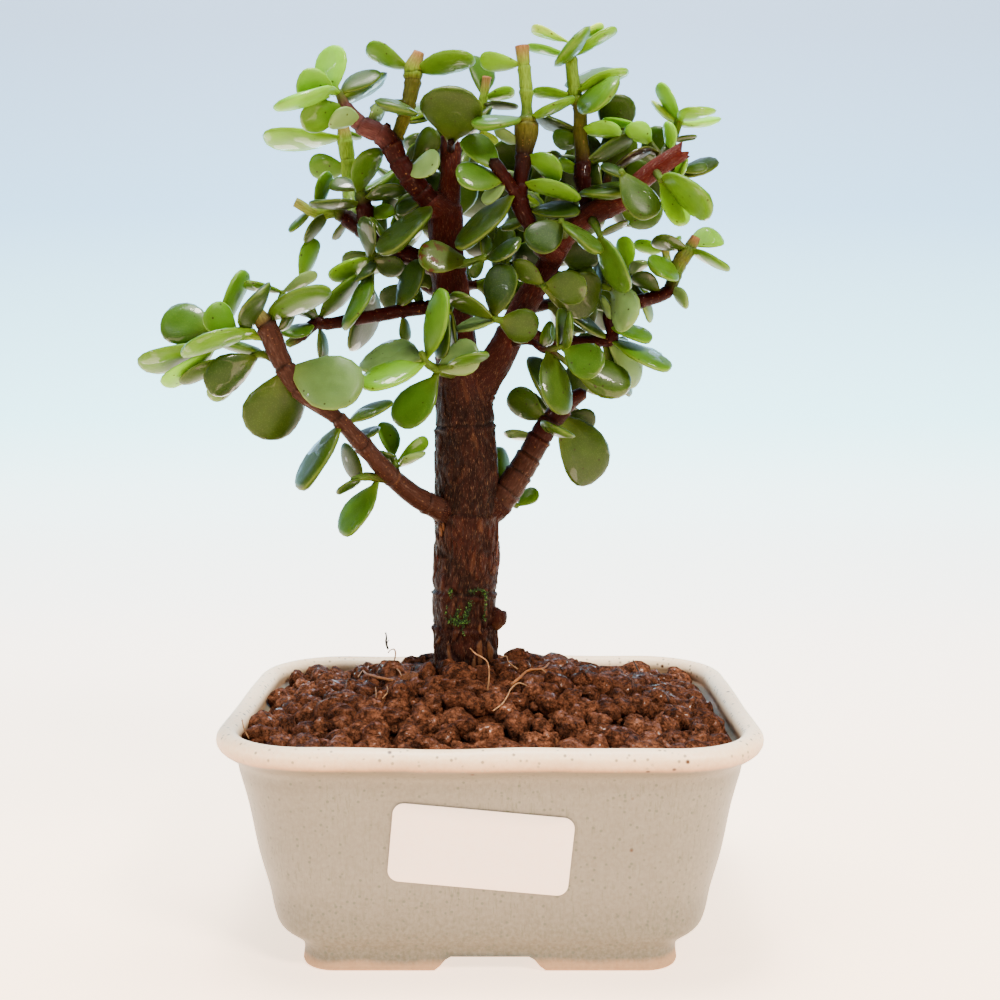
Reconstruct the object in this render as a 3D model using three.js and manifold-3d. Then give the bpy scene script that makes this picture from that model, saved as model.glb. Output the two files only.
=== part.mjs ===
/**
 * Dwarf jade bonsai (Portulacaria afra) in a glazed rectangular pot.
 *
 * Millimetres, +Z up, front toward -Y, standing on z = 0. The pot's own axis is x = 0, y = 0
 * while the pieces are made; at the end the group is moved so that the whole stands centred.
 */

import * as THREE from 'three';
import { mergeVertices } from 'three/addons/utils/BufferGeometryUtils.js';
import Module from 'manifold-3d';

const wasm = await Module();
wasm.setup();

// ---------------------------------------------------------------- driving dimensions

const GAP = 0.3; // clearance between two pieces that touch on the real thing

const POT = {
  halfWidth: 75,
  halfDepth: 60.7,
  cornerRadius: 28,
  lipRadius: 3.1,
  lipHeight: 60.2,
  floor: 9,
  drain: 8,
};

const FOOT = {
  recess: 4,
  ring: 8,
  notchHeight: 4,
  notchTop: 21,
  notchBottom: 30,
};

const SOIL = {
  granule: 11, // spacing of the granules
  relief: 2.6, // height of the tallest granules over the heap
  joint: 0.6, // depth of the joints between them, for that height
  stray: 0.25, // how far a granule strays, for its spacing
  edge: 58.6,
  crown: 72.5,
  reachX: 62, // the heap falls from its crown to its edge over an oval of this half width
  reachY: 48, // and this half depth
  fall: 1.5, // by this power of the way out
};

const LABEL = { width: 47.5, height: 21.8, corner: 3, thickness: 0.6, tilt: 5.5, x: -2.3, z: 35.1 };

const NET = { side: 26, thickness: 1, cell: 5, bar: 2 };

const LEAF = {
  rootSink: 0.6, // how far a blade's root goes past the middle of its stem
  slender: 0.64, // least width for its length
  broadest: 0.85, // greatest width for its length
  paired: 0.74, // width for its length where it grows in a pair on the back shoots
  stalk: 1.5, // from the middle of its stem to the foot of a paired blade
  edge: 0.6, // what is seen of a blade's thickness
  plump: 0.22, // thickness for its width
  crest: 0.45, // where along the blade it is thickest
  thinnest: 1.6,
  thickest: 2.8,
  berth: 2.3, // distance kept between the middles of two blades
  clear: 1, // distance kept from the skin of a stem
};

// ---------------------------------------------------------------- solids

/** Closed skin over rings of equal count, flat at its start and flat or pointed at its end. */
function loft(rings, tip = null) {
  const count = rings[0].length;
  const points = rings.flat();
  const last = points.length - count;
  const faces = [];
  for (let start = 0; start < last; start += count) {
    for (let j = 0; j < count; j += 1) {
      const a = start + j;
      const b = start + ((j + 1) % count);
      faces.push(a, b, b + count, a, b + count, a + count);
    }
  }
  for (let j = 1; j < count - 1; j += 1) {
    faces.push(0, j + 1, j);
    if (!tip) faces.push(last, last + j, last + j + 1);
  }
  if (tip) {
    for (let j = 0; j < count; j += 1) {
      faces.push(last + j, last + ((j + 1) % count), points.length);
    }
    points.push(tip);
  }
  const geometry = new THREE.BufferGeometry().setFromPoints(points);
  geometry.setIndex(faces);
  return geometry;
}

/** A closed geometry as a solid that can be joined and cut. */
function solid(geometry) {
  const bare = geometry.clone();
  bare.deleteAttribute('normal');
  bare.deleteAttribute('uv');
  const welded = mergeVertices(bare, 1e-3);
  return new wasm.Manifold(new wasm.Mesh({
    numProp: 3,
    vertProperties: Float32Array.from(welded.attributes.position.array),
    triVerts: Uint32Array.from(welded.index.array),
  }));
}

/** The largest connected body of a solid: loose scraps go, sealed hollows are filled. */
function oneBody(body) {
  return body.decompose().sort((a, b) => b.volume() - a.volume())[0];
}

/** A named mesh of a solid, in one finish. */
function piece(name, body, finish) {
  const cut = oneBody(body).getMesh();
  const geometry = new THREE.BufferGeometry();
  geometry.setAttribute('position', new THREE.BufferAttribute(cut.vertProperties, 3));
  geometry.setIndex(new THREE.BufferAttribute(cut.triVerts, 1));
  const mesh = new THREE.Mesh(geometry, new THREE.MeshStandardMaterial({ metalness: 0, ...finish }));
  mesh.name = name;
  return mesh;
}

const mix = THREE.MathUtils.lerp;
const clamp = THREE.MathUtils.clamp;
const radians = THREE.MathUtils.degToRad;

/** Repeatable draw between 0 and 1 for a whole number. */
function draw(seed) {
  const wave = Math.sin(seed * 12.9898) * 43758.5453;
  return wave - Math.floor(wave);
}

// ---------------------------------------------------------------- pot

/** Ring of a rectangle with round corners at one height. */
function potRing(height, halfWidth, halfDepth, radius, steps = 5) {
  const ring = [];
  for (let corner = 0; corner < 4; corner += 1) {
    const centreX = (corner === 0 || corner === 3 ? 1 : -1) * (halfWidth - radius);
    const centreY = (corner < 2 ? 1 : -1) * (halfDepth - radius);
    for (let step = 0; step <= steps; step += 1) {
      const turn = (corner + step / steps) * Math.PI / 2;
      ring.push(new THREE.Vector3(
        centreX + radius * Math.cos(turn),
        centreY + radius * Math.sin(turn),
        height,
      ));
    }
  }
  return ring;
}

// Outer wall from the foot up to the lip: height, half width, half depth, corner radius.
const OUTER_WALL = [
  [0, 50.8, 49.3, 9],
  [4.5, 50.6, 48.8, 9.5],
  [10.5, 57.8, 50.9, 14],
  [19, 61, 51.8, 19.5],
  [28, 63.6, 52.8, 21],
  [43, 66.8, 54, 23],
  [50, 68.8, 54.9, 24],
  [54.5, 70.2, 55.8, 25],
];

// Inner wall from under the lip down to the floor.
const INNER_WALL = [
  [56, 67.2, 53, 22],
  [50, 64.5, 50.6, 20],
  [28, 59, 48.4, 17],
  [13, 54, 46.8, 14],
  [POT.floor, 50, 43.5, 11],
];

/** Rings of the rolled lip, from its underside over the top to its inside. */
function lipRings(steps = 5) {
  const rings = [];
  for (let step = 0; step <= steps; step += 1) {
    const turn = radians(mix(-55, 215, step / steps));
    const inward = POT.lipRadius * (1 - Math.cos(turn));
    const ring = potRing(
      POT.lipHeight + POT.lipRadius * Math.sin(turn),
      POT.halfWidth - inward,
      POT.halfDepth - inward,
      POT.cornerRadius - inward,
    );
    rings.push(ring);
  }
  return rings;
}

/** Depth in Y at which the pot's front wall stands at a height, read off the outer wall's rows. */
function frontWall(height) {
  const above = OUTER_WALL.findIndex((row) => row[0] >= height);
  const [z0, , y0] = OUTER_WALL[above - 1];
  const [z1, , y1] = OUTER_WALL[above];
  return -mix(y0, y1, (height - z0) / (z1 - z0));
}

/** Four-sided block that narrows upward, for a notch through the foot ring along Y. */
function notch(reach) {
  const { notchTop, notchBottom, notchHeight } = FOOT;
  const outline = new THREE.Shape([
    new THREE.Vector2(-notchBottom / 2, -1),
    new THREE.Vector2(notchBottom / 2, -1),
    new THREE.Vector2(notchTop / 2, notchHeight),
    new THREE.Vector2(-notchTop / 2, notchHeight),
  ]);
  const block = new THREE.ExtrudeGeometry(outline, { depth: 2 * reach, bevelEnabled: false });
  block.rotateX(Math.PI / 2);
  block.translate(0, reach, 0);
  return block;
}

function makePot() {
  const rings = [
    ...OUTER_WALL.map((row) => potRing(...row)),
    ...lipRings(),
    ...INNER_WALL.map((row) => potRing(...row)),
  ];
  const [, footWidth, footDepth, footRadius] = OUTER_WALL[0];
  const recess = loft([-1, FOOT.recess].map((height) => potRing(
    height,
    footWidth - FOOT.ring,
    footDepth - FOOT.ring,
    footRadius - FOOT.ring / 2,
    3,
  )));
  const drain = new THREE.CylinderGeometry(POT.drain, POT.drain, 4 * POT.floor, 20);
  drain.rotateX(Math.PI / 2);
  const frontNotch = notch(POT.halfDepth);
  const sideNotch = notch(POT.halfWidth);
  sideNotch.rotateZ(Math.PI / 2);
  return [recess, drain, frontNotch, sideNotch].reduce(
    (body, cutter) => body.subtract(solid(cutter)),
    solid(loft(rings)),
  );
}

// ---------------------------------------------------------------- setting-out board

// The plant is set out on an upright board 1000 units square, looked at from an eye point in
// front of the pot. A mark (u, v) on the board and a depth y give one point in space.
const EYE = new THREE.Vector3(2.7, -392, 158);
const FOCUS = 1335;
const PITCH = 0.0923;
const CENTRE = 500;

function board(u, v, y) {
  const across = (u - CENTRE) / FOCUS;
  const rise = (CENTRE - v) / FOCUS;
  const forward = Math.cos(PITCH) + rise * Math.sin(PITCH);
  const up = rise * Math.cos(PITCH) - Math.sin(PITCH);
  const reach = (y - EYE.y) / forward;
  return new THREE.Vector3(EYE.x + reach * across, y, EYE.z + reach * up);
}

/** Millimetres to one board unit at a depth. */
function unit(y) {
  return (y - EYE.y) / FOCUS;
}

// ---------------------------------------------------------------- stems

// A stem is a list of marks: u, v, depth in mm, width in board units.
const STEM_SIDES = [[36, 10], [18, 7], [11, 5], [0, 4]]; // least width at its foot, sides
const STEM_INSET = 0.9; // a leaf's root keeps this far from the ends of a stem

/** Stem through its marks, many-sided if it is thick, grown by a margin to serve as a cutter. */
function stem(marks, margin = 0) {
  const sides = STEM_SIDES.find(([width]) => marks[0][3] >= width)[1];
  const points = marks.map(([u, v, y]) => board(u, v, y));
  const rings = [];
  let side = new THREE.Vector3(0, 1, 0);
  points.forEach((point, i) => {
    const before = points[Math.max(i - 1, 0)];
    const after = points[Math.min(i + 1, points.length - 1)];
    const along = after.clone().sub(before).normalize();
    side = side.clone().addScaledVector(along, -side.dot(along)).normalize();
    const up = along.clone().cross(side);
    const radius = marks[i][3] * unit(marks[i][2]) / 2 + margin;
    const ends = { 0: -margin, [points.length - 1]: margin };
    const ring = [];
    for (let k = 0; k < sides; k += 1) {
      const turn = 2 * Math.PI * k / sides;
      ring.push(point.clone()
        .addScaledVector(side, radius * Math.cos(turn))
        .addScaledVector(up, radius * Math.sin(turn))
        .addScaledVector(along, ends[i] ?? 0));
    }
    rings.push(ring);
  });
  return loft(rings);
}

/** The place on a branch's stems nearest to a mark, with the stem's direction there. */
function seat(stems, u, v) {
  let best = { off: Infinity };
  for (const marks of stems) {
    for (let i = 1; i < marks.length; i += 1) {
      const [u0, v0, y0] = marks[i - 1];
      const [u1, v1, y1] = marks[i];
      const run = (u1 - u0) ** 2 + (v1 - v0) ** 2;
      const inset = STEM_INSET / unit(y0) / Math.sqrt(run);
      const along = ((u - u0) * (u1 - u0) + (v - v0) * (v1 - v0)) / run;
      const share = clamp(along, Math.min(inset, 0.5), Math.max(1 - inset, 0.5));
      const off = Math.hypot(u - mix(u0, u1, share), v - mix(v0, v1, share));
      if (off < best.off) {
        best = {
          off,
          at: board(mix(u0, u1, share), mix(v0, v1, share), mix(y0, y1, share)),
          along: board(u1, v1, y1).sub(board(u0, v0, y0)).normalize(),
        };
      }
    }
  }
  return best;
}

// ---------------------------------------------------------------- leaves

/**
 * Leaf drawn on the board: base u, v, tip u, v, seen width, and how far its tip stands off in
 * depth. A leaf seen broader than it could be for its length stands off further, and one seen
 * narrower than a leaf is has rolled on its midrib.
 */
function drawnLeaf(stems, [u0, v0, u1, v1, width, lean], swing) {
  const { at: root, along: axis } = seat(stems, u0, v0);
  const base = board(u0, v0, root.y);
  const seen = board(u1, v1, root.y).distanceTo(base);
  const broad = width * unit(root.y);
  const least = Math.sqrt(Math.max(0, (broad / LEAF.broadest) ** 2 - seen ** 2));
  const off = Math.sign(lean) * Math.max(Math.abs(lean), least) + swing;
  const tip = board(u1, v1, root.y + off);
  const along = tip.clone().sub(base);
  const length = along.length();
  along.normalize();
  const sight = base.clone().sub(EYE).normalize();
  const level = along.clone().cross(sight).normalize();
  const facing = level.clone().cross(along);
  const whole = Math.max(broad, LEAF.slender * length);
  const turn = Math.acos(clamp((broad - LEAF.edge) / whole, 0, 1));
  const rolled = [turn, -turn].map((angle) => level.clone().multiplyScalar(Math.cos(angle))
    .addScaledVector(facing, Math.sin(angle)));
  const upright = rolled.map((side) => Math.abs(along.clone().cross(side).dot(axis)));
  const side = rolled[upright[0] >= upright[1] ? 0 : 1];
  return { root, base, tip, side, width: whole };
}

/** Leaf of an opposite pair, at an angle off its stem, its upper face toward the stem's tip. */
function pairedLeaf(root, axis, radial, angle, length) {
  const along = axis.clone().multiplyScalar(Math.cos(angle))
    .addScaledVector(radial, Math.sin(angle));
  const side = along.clone().cross(axis).normalize();
  const base = root.clone().addScaledVector(along, LEAF.stalk);
  const tip = base.clone().addScaledVector(along, length);
  return { root, base, tip, side, width: LEAF.paired * length };
}

// Half of a blade's outline from root to tip: share of the length, share of the half width.
const OUTLINE = [[0.2, 0.7], [0.58, 1.12], [0.89, 0.86]];

function thickness(leaf) {
  return clamp(LEAF.plump * leaf.width, LEAF.thinnest, LEAF.thickest);
}

/**
 * Plump obovate blade: a thin round edge, one high point on each face, and a root sunk in the
 * stem. Grown by a margin it is a cutter with a blunt edge.
 */
function blade(leaf, margin = 0) {
  const along = leaf.tip.clone().sub(leaf.base).normalize();
  const face = along.clone().cross(leaf.side);
  const edge = (hand) => OUTLINE.map(([share, wide]) => leaf.base.clone().lerp(leaf.tip, share)
    .addScaledVector(leaf.side, hand * (wide * leaf.width / 2 + margin)));
  const outline = [
    leaf.root.clone().addScaledVector(along, -LEAF.rootSink),
    ...edge(-1),
    leaf.tip.clone().addScaledVector(along, margin),
    ...edge(1).reverse(),
  ];
  const swell = thickness(leaf) / 2 + margin;
  const crest = leaf.base.clone().lerp(leaf.tip, LEAF.crest);
  const upper = outline.map((point) => point.clone().addScaledVector(face, margin));
  const lower = outline.map((point) => point.clone().addScaledVector(face, -margin));
  const points = [
    ...upper,
    ...lower,
    crest.clone().addScaledVector(face, swell),
    crest.clone().addScaledVector(face, -swell),
  ];
  const count = outline.length;
  const faces = [];
  for (let i = 0; i < count; i += 1) {
    const j = (i + 1) % count;
    faces.push(i, j, 2 * count, count + j, count + i, 2 * count + 1);
    if (margin > 0) faces.push(i, count + i, count + j, i, count + j, j);
  }
  const geometry = new THREE.BufferGeometry().setFromPoints(points);
  geometry.setIndex(faces);
  return geometry;
}

// ---------------------------------------------------------------- room between leaves

const ALONG_SAMPLES = [0.12, 0.34, 0.56, 0.78, 0.96];
const ACROSS_SAMPLES = [-0.72, 0, 0.72];
const REACH = 26; // blades whose middles are further apart can't touch
const MIDDLE_SAMPLE = 7;
const FOOT_SAMPLES = 3; // the first three lie at the blade's foot, which may touch its stem
const FOOT_PHASE = 0.12; // the samples' spread follows a sine from here, at the foot
const SPREAD_PHASE = 0.8; // over this much of its half turn

/** Points spread over a blade. */
function samples(leaf) {
  const points = [];
  for (const share of ALONG_SAMPLES) {
    const phase = clamp(FOOT_PHASE + share * SPREAD_PHASE, 0, 1);
    const wide = leaf.width / 2 * Math.sin(Math.PI * phase);
    for (const across of ACROSS_SAMPLES) {
      points.push(leaf.base.clone().lerp(leaf.tip, share)
        .addScaledVector(leaf.side, across * wide));
    }
  }
  return points;
}

/** How deeply a leaf's points stand in the berth of leaves and stems placed before it. */
function crowding(points, placed, poles) {
  let sum = 0;
  const middle = points[MIDDLE_SAMPLE];
  for (const other of placed) {
    if (other.points[MIDDLE_SAMPLE].distanceTo(middle) < REACH) {
      for (const a of points) {
        for (const b of other.points) sum += Math.max(0, LEAF.berth - a.distanceTo(b));
      }
    }
  }
  for (const pole of poles) {
    for (const point of points.slice(FOOT_SAMPLES)) {
      const nearest = pole.line.closestPointToPoint(point, true, new THREE.Vector3());
      sum += Math.max(0, pole.radius + LEAF.clear - nearest.distanceTo(point));
    }
  }
  return sum;
}

/** Straight lengths of all stems, with their radii. */
function poleList(stems) {
  const poles = [];
  for (const marks of stems) {
    for (let i = 1; i < marks.length; i += 1) {
      const [from, to] = [marks[i - 1], marks[i]];
      poles.push({
        line: new THREE.Line3(board(...from.slice(0, 3)), board(...to.slice(0, 3))),
        radius: (from[3] + to[3]) / 4 * unit(from[2]),
      });
    }
  }
  return poles;
}

const SWINGS = [0, -2, 2, -4, 4, -6, 6, -8, 8, -11, 11];
const SWING_COST = 0.05; // crowding that a millimetre of swing must save

/** Each drawn leaf takes the first swing in depth that leaves it clear of those before it. */
function placeDrawn(branch, placed, poles) {
  for (const row of branch.leaves ?? []) {
    let best = { sum: Infinity };
    for (const swing of SWINGS) {
      const leaf = drawnLeaf(branch.stems, row, swing);
      const points = samples(leaf);
      const sum = crowding(points, placed, poles) + Math.abs(swing) * SWING_COST;
      if (sum < best.sum) best = { sum, leaf, points };
    }
    placed.push({ branch: branch.name, ...best });
  }
}

const PAIR_ANGLES = [62, 48, 76, 36]; // off the stem, the first with room is taken
const PAIR_STEP = 7.5; // along the stem from one pair to the next
const PAIR_STRAY = 0.8; // most that a pair is turned further than a quarter, in radians
const PAIR_ROOM = 1.5; // crowding that a paired leaf still bears
const PAIR_SIZES = [0.82, 1.12];
const YOUNG = 0.9; // leaves past this share of the shoot are young
const YOUNG_SIZE = 0.8;

/** Place on a stem at a distance along its straight lengths, and its direction there. */
function walk(points, distance) {
  let left = distance;
  let i = 1;
  while (i < points.length - 1 && left >= points[i].distanceTo(points[i - 1])) {
    left -= points[i].distanceTo(points[i - 1]);
    i += 1;
  }
  const axis = points[i].clone().sub(points[i - 1]).normalize();
  return { root: points[i - 1].clone().addScaledVector(axis, left), axis };
}

/** Opposite pairs, each turned a quarter from the last, along a shoot that has room for them. */
function placePairs(branch, index, placed, poles) {
  const [start, size] = branch.pairs;
  const points = branch.stems[0].map(([u, v, y]) => board(u, v, y));
  const total = points.slice(1)
    .reduce((sum, point, i) => sum + point.distanceTo(points[i]), 0);
  let node = 0;
  for (let run = start; run < total + 1; run += PAIR_STEP) {
    const share = Math.min(run / total, 0.999);
    const { root, axis } = walk(points, share * total);
    const across = axis.clone().cross(new THREE.Vector3(0, 0, 1)).normalize();
    for (const half of [0, 1]) {
      const seed = index * 100 + node * 2 + half;
      const turn = Math.PI / 2 * node + Math.PI * half + draw(seed) * PAIR_STRAY;
      const radial = across.clone().applyAxisAngle(axis, turn);
      const young = share > YOUNG ? YOUNG_SIZE : 1;
      const length = size * mix(...PAIR_SIZES, draw(seed + 0.5)) * young;
      for (const angle of PAIR_ANGLES) {
        const leaf = pairedLeaf(root, axis, radial, radians(angle), length);
        const spread = samples(leaf);
        if (crowding(spread, placed, poles) < PAIR_ROOM) {
          placed.push({ branch: branch.name, leaf, points: spread });
          break;
        }
      }
    }
    node += 1;
  }
}

// ---------------------------------------------------------------- the plant

const TRUNK = [
  // bole, to the pruned top above the fork
  [[466, 735, 6, 63], [466, 665, 6, 64], [465, 610, 6, 62], [467, 520, 6, 66], [466, 440, 6, 62],
    [463, 405, 6, 56], [459, 372, 6, 46], [452, 300, 6, 37], [446, 245, 6, 34], [446, 212, 6, 33],
    [447, 200, 6, 27], [449, 190, 6, 23], [451, 140, 6, 21]],
  // right limb, to its cut red end
  [[468, 425, 6, 35], [479, 388, 6, 37], [497, 360, 5, 32], [525, 305, 2, 26], [550, 262, -1, 22],
    [572, 228, -4, 23], [590, 215, -5, 23], [625, 198, -7, 21], [642, 180, -9, 20],
    [684, 150, -12, 17]],
];

const BRANCHES = [
  {
    name: 'branch_left_low',
    stems: [
      [[458, 516, 4, 26], [425, 502, -3, 22], [390, 475, -12, 19], [362, 444, -20, 18],
        [337, 418, -25, 16], [297, 388, -28, 17], [284, 366, -29, 20], [265, 324, -32, 19],
        [255, 309, -33, 12]],
      [[390, 480, -12, 9], [362, 477, -16, 8], [352, 480, -17, 6]],
      [[398, 484, -10, 8], [396, 470, -8, 8], [393, 456, -7, 7]],
      [[270, 338, -31, 9], [252, 336, -29, 8], [236, 338, -26, 7], [214, 343, -21, 6]],
      [[278, 362, -30, 9], [262, 354, -28, 8], [245, 360, -25, 6], [232, 366, -23, 5]],
      [[268, 330, -31, 8], [276, 312, -25, 7], [283, 292, -20, 6]],
    ],
    leaves: [
      [290, 368, 360, 395, 55, -6], [284, 372, 272, 440, 60, 4], [360, 440, 372, 428, 18, 6],
      [340, 425, 299, 490, 22, -5], [362, 481, 342, 447, 22, 7], [377, 484, 343, 536, 30, -4],
      [362, 480, 337, 492, 8, 6], [393, 458, 385, 422, 20, 5], [393, 462, 380, 452, 12, -6],
      [397, 462, 428, 441, 15, -6], [400, 466, 422, 453, 9, 5], [349, 422, 391, 401, 17, 6],
      [214, 330, 163, 318, 42, 5], [216, 335, 247, 273, 13, 7], [283, 292, 243, 284, 7, 4],
      [237, 333, 207, 308, 30, -4], [242, 330, 257, 293, 12, 5], [248, 332, 261, 291, 13, -4],
      [222, 340, 140, 368, 15, 4], [257, 330, 183, 350, 12, -6], [213, 350, 166, 386, 13, 5],
      [228, 358, 182, 383, 20, 4], [257, 357, 206, 388, 33, -6], [238, 368, 214, 401, 22, 4],
      [262, 354, 228, 345, 8, 6], [278, 330, 293, 313, 12, 5], [268, 319, 326, 287, 26, -4],
      [283, 291, 317, 275, 14, 5],
    ],
  },
  {
    name: 'shoot_trunk_front',
    stems: [
      [[458, 374, 4, 12], [440, 370, -8, 10], [427, 363, -13, 8], [421, 352, -16, 6]],
      [[436, 368, -9, 8], [452, 366, -13, 6]],
    ],
    leaves: [
      [437, 376, 398, 426, 35, -3], [424, 363, 361, 386, 27, -5], [427, 358, 444, 289, 25, -5],
      [437, 369, 479, 350, 33, -5], [421, 360, 369, 355, 34, 6], [448, 366, 486, 353, 14, 4],
    ],
  },
  {
    name: 'shoot_trunk_hanging',
    stems: [[[452, 302, 4, 9], [450, 308, -9, 7], [449, 312, -13, 6]]],
    leaves: [[447, 312, 441, 359, 12, -2], [452, 313, 452, 352, 9, 2]],
  },
  {
    name: 'branch_left_mid',
    stems: [
      [[455, 306, 5, 16], [425, 308, 1, 15], [400, 311, 1, 14], [375, 316, 2, 13],
        [350, 320, 3, 13], [325, 324, 4, 12], [317, 323, 5, 12], [300, 337, 5, 11],
        [288, 344, 6, 9]],
      [[317, 323, 5, 9], [308, 300, 9, 8], [300, 278, 12, 6]],
    ],
    leaves: [
      [402, 316, 408, 340, 12, 5], [320, 318, 357, 275, 21, -4], [315, 324, 283, 335, 16, -4],
      [312, 318, 299, 308, 10, -5], [319, 328, 325, 360, 12, 3], [300, 278, 318, 241, 20, 5],
      [397, 308, 422, 262, 25, -5], [420, 306, 417, 287, 13, -6],
    ],
  },
  {
    name: 'branch_left_upper',
    stems: [
      [[449, 268, 6, 22], [430, 262, 5, 20], [395, 250, 7, 19], [380, 240, 9, 18],
        [360, 228, 11, 18], [345, 217, 13, 16], [335, 212, 13, 13], [320, 214, 12, 11],
        [295, 202, 11, 10]],
      [[368, 233, 10, 17], [366, 222, 9, 17], [364, 205, 8, 17], [360, 192, 8, 12],
        [358, 182, 8, 8]],
      [[380, 242, 8, 9], [371, 257, 2, 8], [371, 272, 0, 7], [372, 292, 3, 5]],
      [[352, 222, 13, 14], [351, 205, 20, 15], [349, 180, 26, 15], [348, 160, 27, 15],
        [345, 140, 27, 15], [343, 122, 27, 10]],
    ],
    leaves: [
      [328, 214, 304, 241, 15, -4], [311, 212, 289, 230, 9, 4], [315, 208, 331, 174, 17, 5],
      [359, 190, 331, 182, 13, 4], [361, 204, 309, 203, 12, -5], [358, 194, 374, 148, 24, -4],
      [363, 200, 405, 188, 14, -5], [361, 194, 397, 174, 9, 6], [345, 220, 338, 236, 10, 5],
      [369, 257, 367, 217, 17, -6], [395, 248, 371, 219, 10, -6], [368, 218, 394, 208, 14, 4],
      [374, 260, 402, 272, 24, 6], [369, 258, 329, 278, 19, -4], [371, 262, 361, 279, 9, -5],
      [371, 271, 347, 327, 17, -5], [372, 290, 357, 349, 28, 5], [347, 168, 309, 168, 24, 3],
      [344, 137, 264, 140, 17, 3], [345, 130, 355, 138, 9, 5],
    ],
  },
  {
    name: 'branch_top_left',
    stems: [
      [[449, 214, 6, 22], [432, 203, 3, 22], [420, 190, 1, 22], [408, 175, -1, 21],
        [398, 160, -2, 20], [390, 143, -3, 22], [378, 133, -4, 20], [360, 124, -5, 18],
        [345, 105, -6, 11], [338, 91, -7, 8]],
      [[388, 143, -3, 8], [387, 125, -3, 8]],
      [[394, 148, -2, 14], [398, 135, -1, 13], [404, 118, 0, 14], [409, 100, 0, 15],
        [413, 80, 0, 17], [413, 72, 0, 19], [419, 52, 0, 11]],
      [[402, 168, -2, 8], [416, 162, 5, 7]],
    ],
    leaves: [
      [335, 90, 328, 47, 34, 3], [334, 92, 297, 80, 30, 6], [337, 92, 280, 104, 17, -5],
      [341, 92, 377, 71, 19, 3], [343, 97, 377, 84, 18, 7], [343, 106, 300, 122, 31, -2],
      [360, 121, 331, 118, 20, -7], [366, 124, 383, 110, 14, 5], [410, 68, 366, 50, 18, 3],
      [417, 70, 475, 58, 25, -3], [408, 100, 376, 110, 14, 6], [406, 107, 393, 108, 22, -6],
      [406, 122, 424, 117, 10, 5], [414, 160, 436, 130, 24, -4], [416, 162, 441, 149, 10, 5],
      [407, 172, 439, 161, 21, -6], [425, 200, 397, 208, 13, 6], [427, 205, 388, 253, 26, -5],
      [405, 120, 434, 104, 18, 6],
    ],
  },
  {
    name: 'shoot_trunk_top',
    stems: [[[451, 152, 6, 8], [451, 142, -5, 7]]],
    leaves: [[451, 140, 453, 87, 55, -4]],
  },
  {
    name: 'shoot_back_stub',
    stems: [
      [[449, 196, 8, 13], [462, 165, 22, 11], [476, 132, 29, 9], [481, 115, 30, 9],
        [484, 95, 30, 9], [487, 77, 30, 9]],
    ],
    leaves: [
      [483, 96, 478, 57, 25, 4], [484, 98, 515, 93, 12, 4], [483, 105, 518, 106, 10, -4],
      [477, 130, 497, 145, 11, 4], [474, 136, 484, 114, 8, -5],
    ],
  },
  {
    name: 'shoot_top_centre',
    stems: [
      [[558, 258, -2, 18], [540, 245, -5, 17], [530, 225, -6, 16], [519, 198, -7, 18],
        [520, 185, -7, 16], [524, 155, -6, 17], [527, 122, -6, 20], [527, 116, -6, 14],
        [526, 90, -6, 14], [524, 65, -6, 13], [522, 46, -6, 14]],
      [[524, 204, -7, 13], [512, 188, -9, 13], [503, 175, -11, 13], [493, 162, -12, 13]],
    ],
    leaves: [
      [513, 194, 459, 249, 26, -6], [502, 180, 456, 175, 24, -6], [506, 182, 483, 203, 13, -8],
      [498, 170, 466, 136, 24, 4], [521, 142, 495, 131, 14, 4], [521, 118, 479, 127, 15, -4],
      [531, 118, 574, 97, 13, -5], [520, 64, 480, 62, 17, 3], [527, 157, 562, 174, 22, -6],
      [524, 184, 580, 197, 13, -6], [530, 210, 580, 212, 17, 4], [524, 192, 534, 207, 12, 6],
      [526, 222, 504, 225, 14, 5],
    ],
  },
  {
    name: 'shoot_top_right_centre',
    stems: [
      [[578, 226, -1, 15], [587, 212, 1, 14], [585, 198, 2, 13], [582, 175, 2, 17],
        [583, 165, 3, 16], [580, 130, 3, 14], [579, 105, 4, 14], [575, 97, 4, 15],
        [574, 88, 4, 13], [571, 58, 5, 12], [570, 42, 5, 6]],
    ],
    leaves: [
      [579, 135, 555, 143, 22, 8], [578, 130, 541, 122, 12, 5], [581, 131, 621, 130, 16, -5],
      [583, 164, 632, 139, 15, 4], [582, 168, 560, 166, 12, 4], [584, 190, 619, 194, 18, -6],
      [569, 56, 527, 47, 7, 4], [573, 56, 617, 28, 10, -3], [571, 58, 573, 42, 30, -9],
      [569, 42, 531, 26, 6, 2], [571, 42, 604, 23, 6, -2], [576, 92, 629, 70, 13, -4],
      [575, 88, 600, 71, 18, 7], [579, 99, 612, 93, 28, -7], [574, 96, 533, 93, 12, 4],
    ],
  },
  {
    name: 'branch_top_right',
    stems: [
      [[650, 176, -8, 12], [660, 160, 0, 10], [668, 148, 3, 10], [679, 121, 5, 9]],
      [[662, 158, 0, 7], [648, 140, 4, 6], [636, 124, 5, 5]],
    ],
    leaves: [
      [680, 120, 657, 85, 14, 3], [680, 120, 706, 109, 14, -3], [678, 123, 663, 108, 8, 5],
      [680, 123, 707, 121, 7, 5], [668, 148, 672, 124, 14, -6], [650, 143, 630, 124, 22, -6],
      [636, 124, 602, 122, 9, 3], [672, 140, 695, 137, 6, 4],
    ],
  },
  {
    name: 'shoot_red_end',
    stems: [[[668, 164, -10, 10], [674, 172, 2, 8], [682, 178, 8, 6]]],
    leaves: [
      [682, 172, 706, 165, 12, 3], [682, 178, 708, 160, 24, 6], [672, 172, 686, 166, 13, -5],
    ],
  },
  {
    name: 'shoot_red_front',
    stems: [[[655, 170, -10, 9], [661, 180, -18, 7]]],
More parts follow.
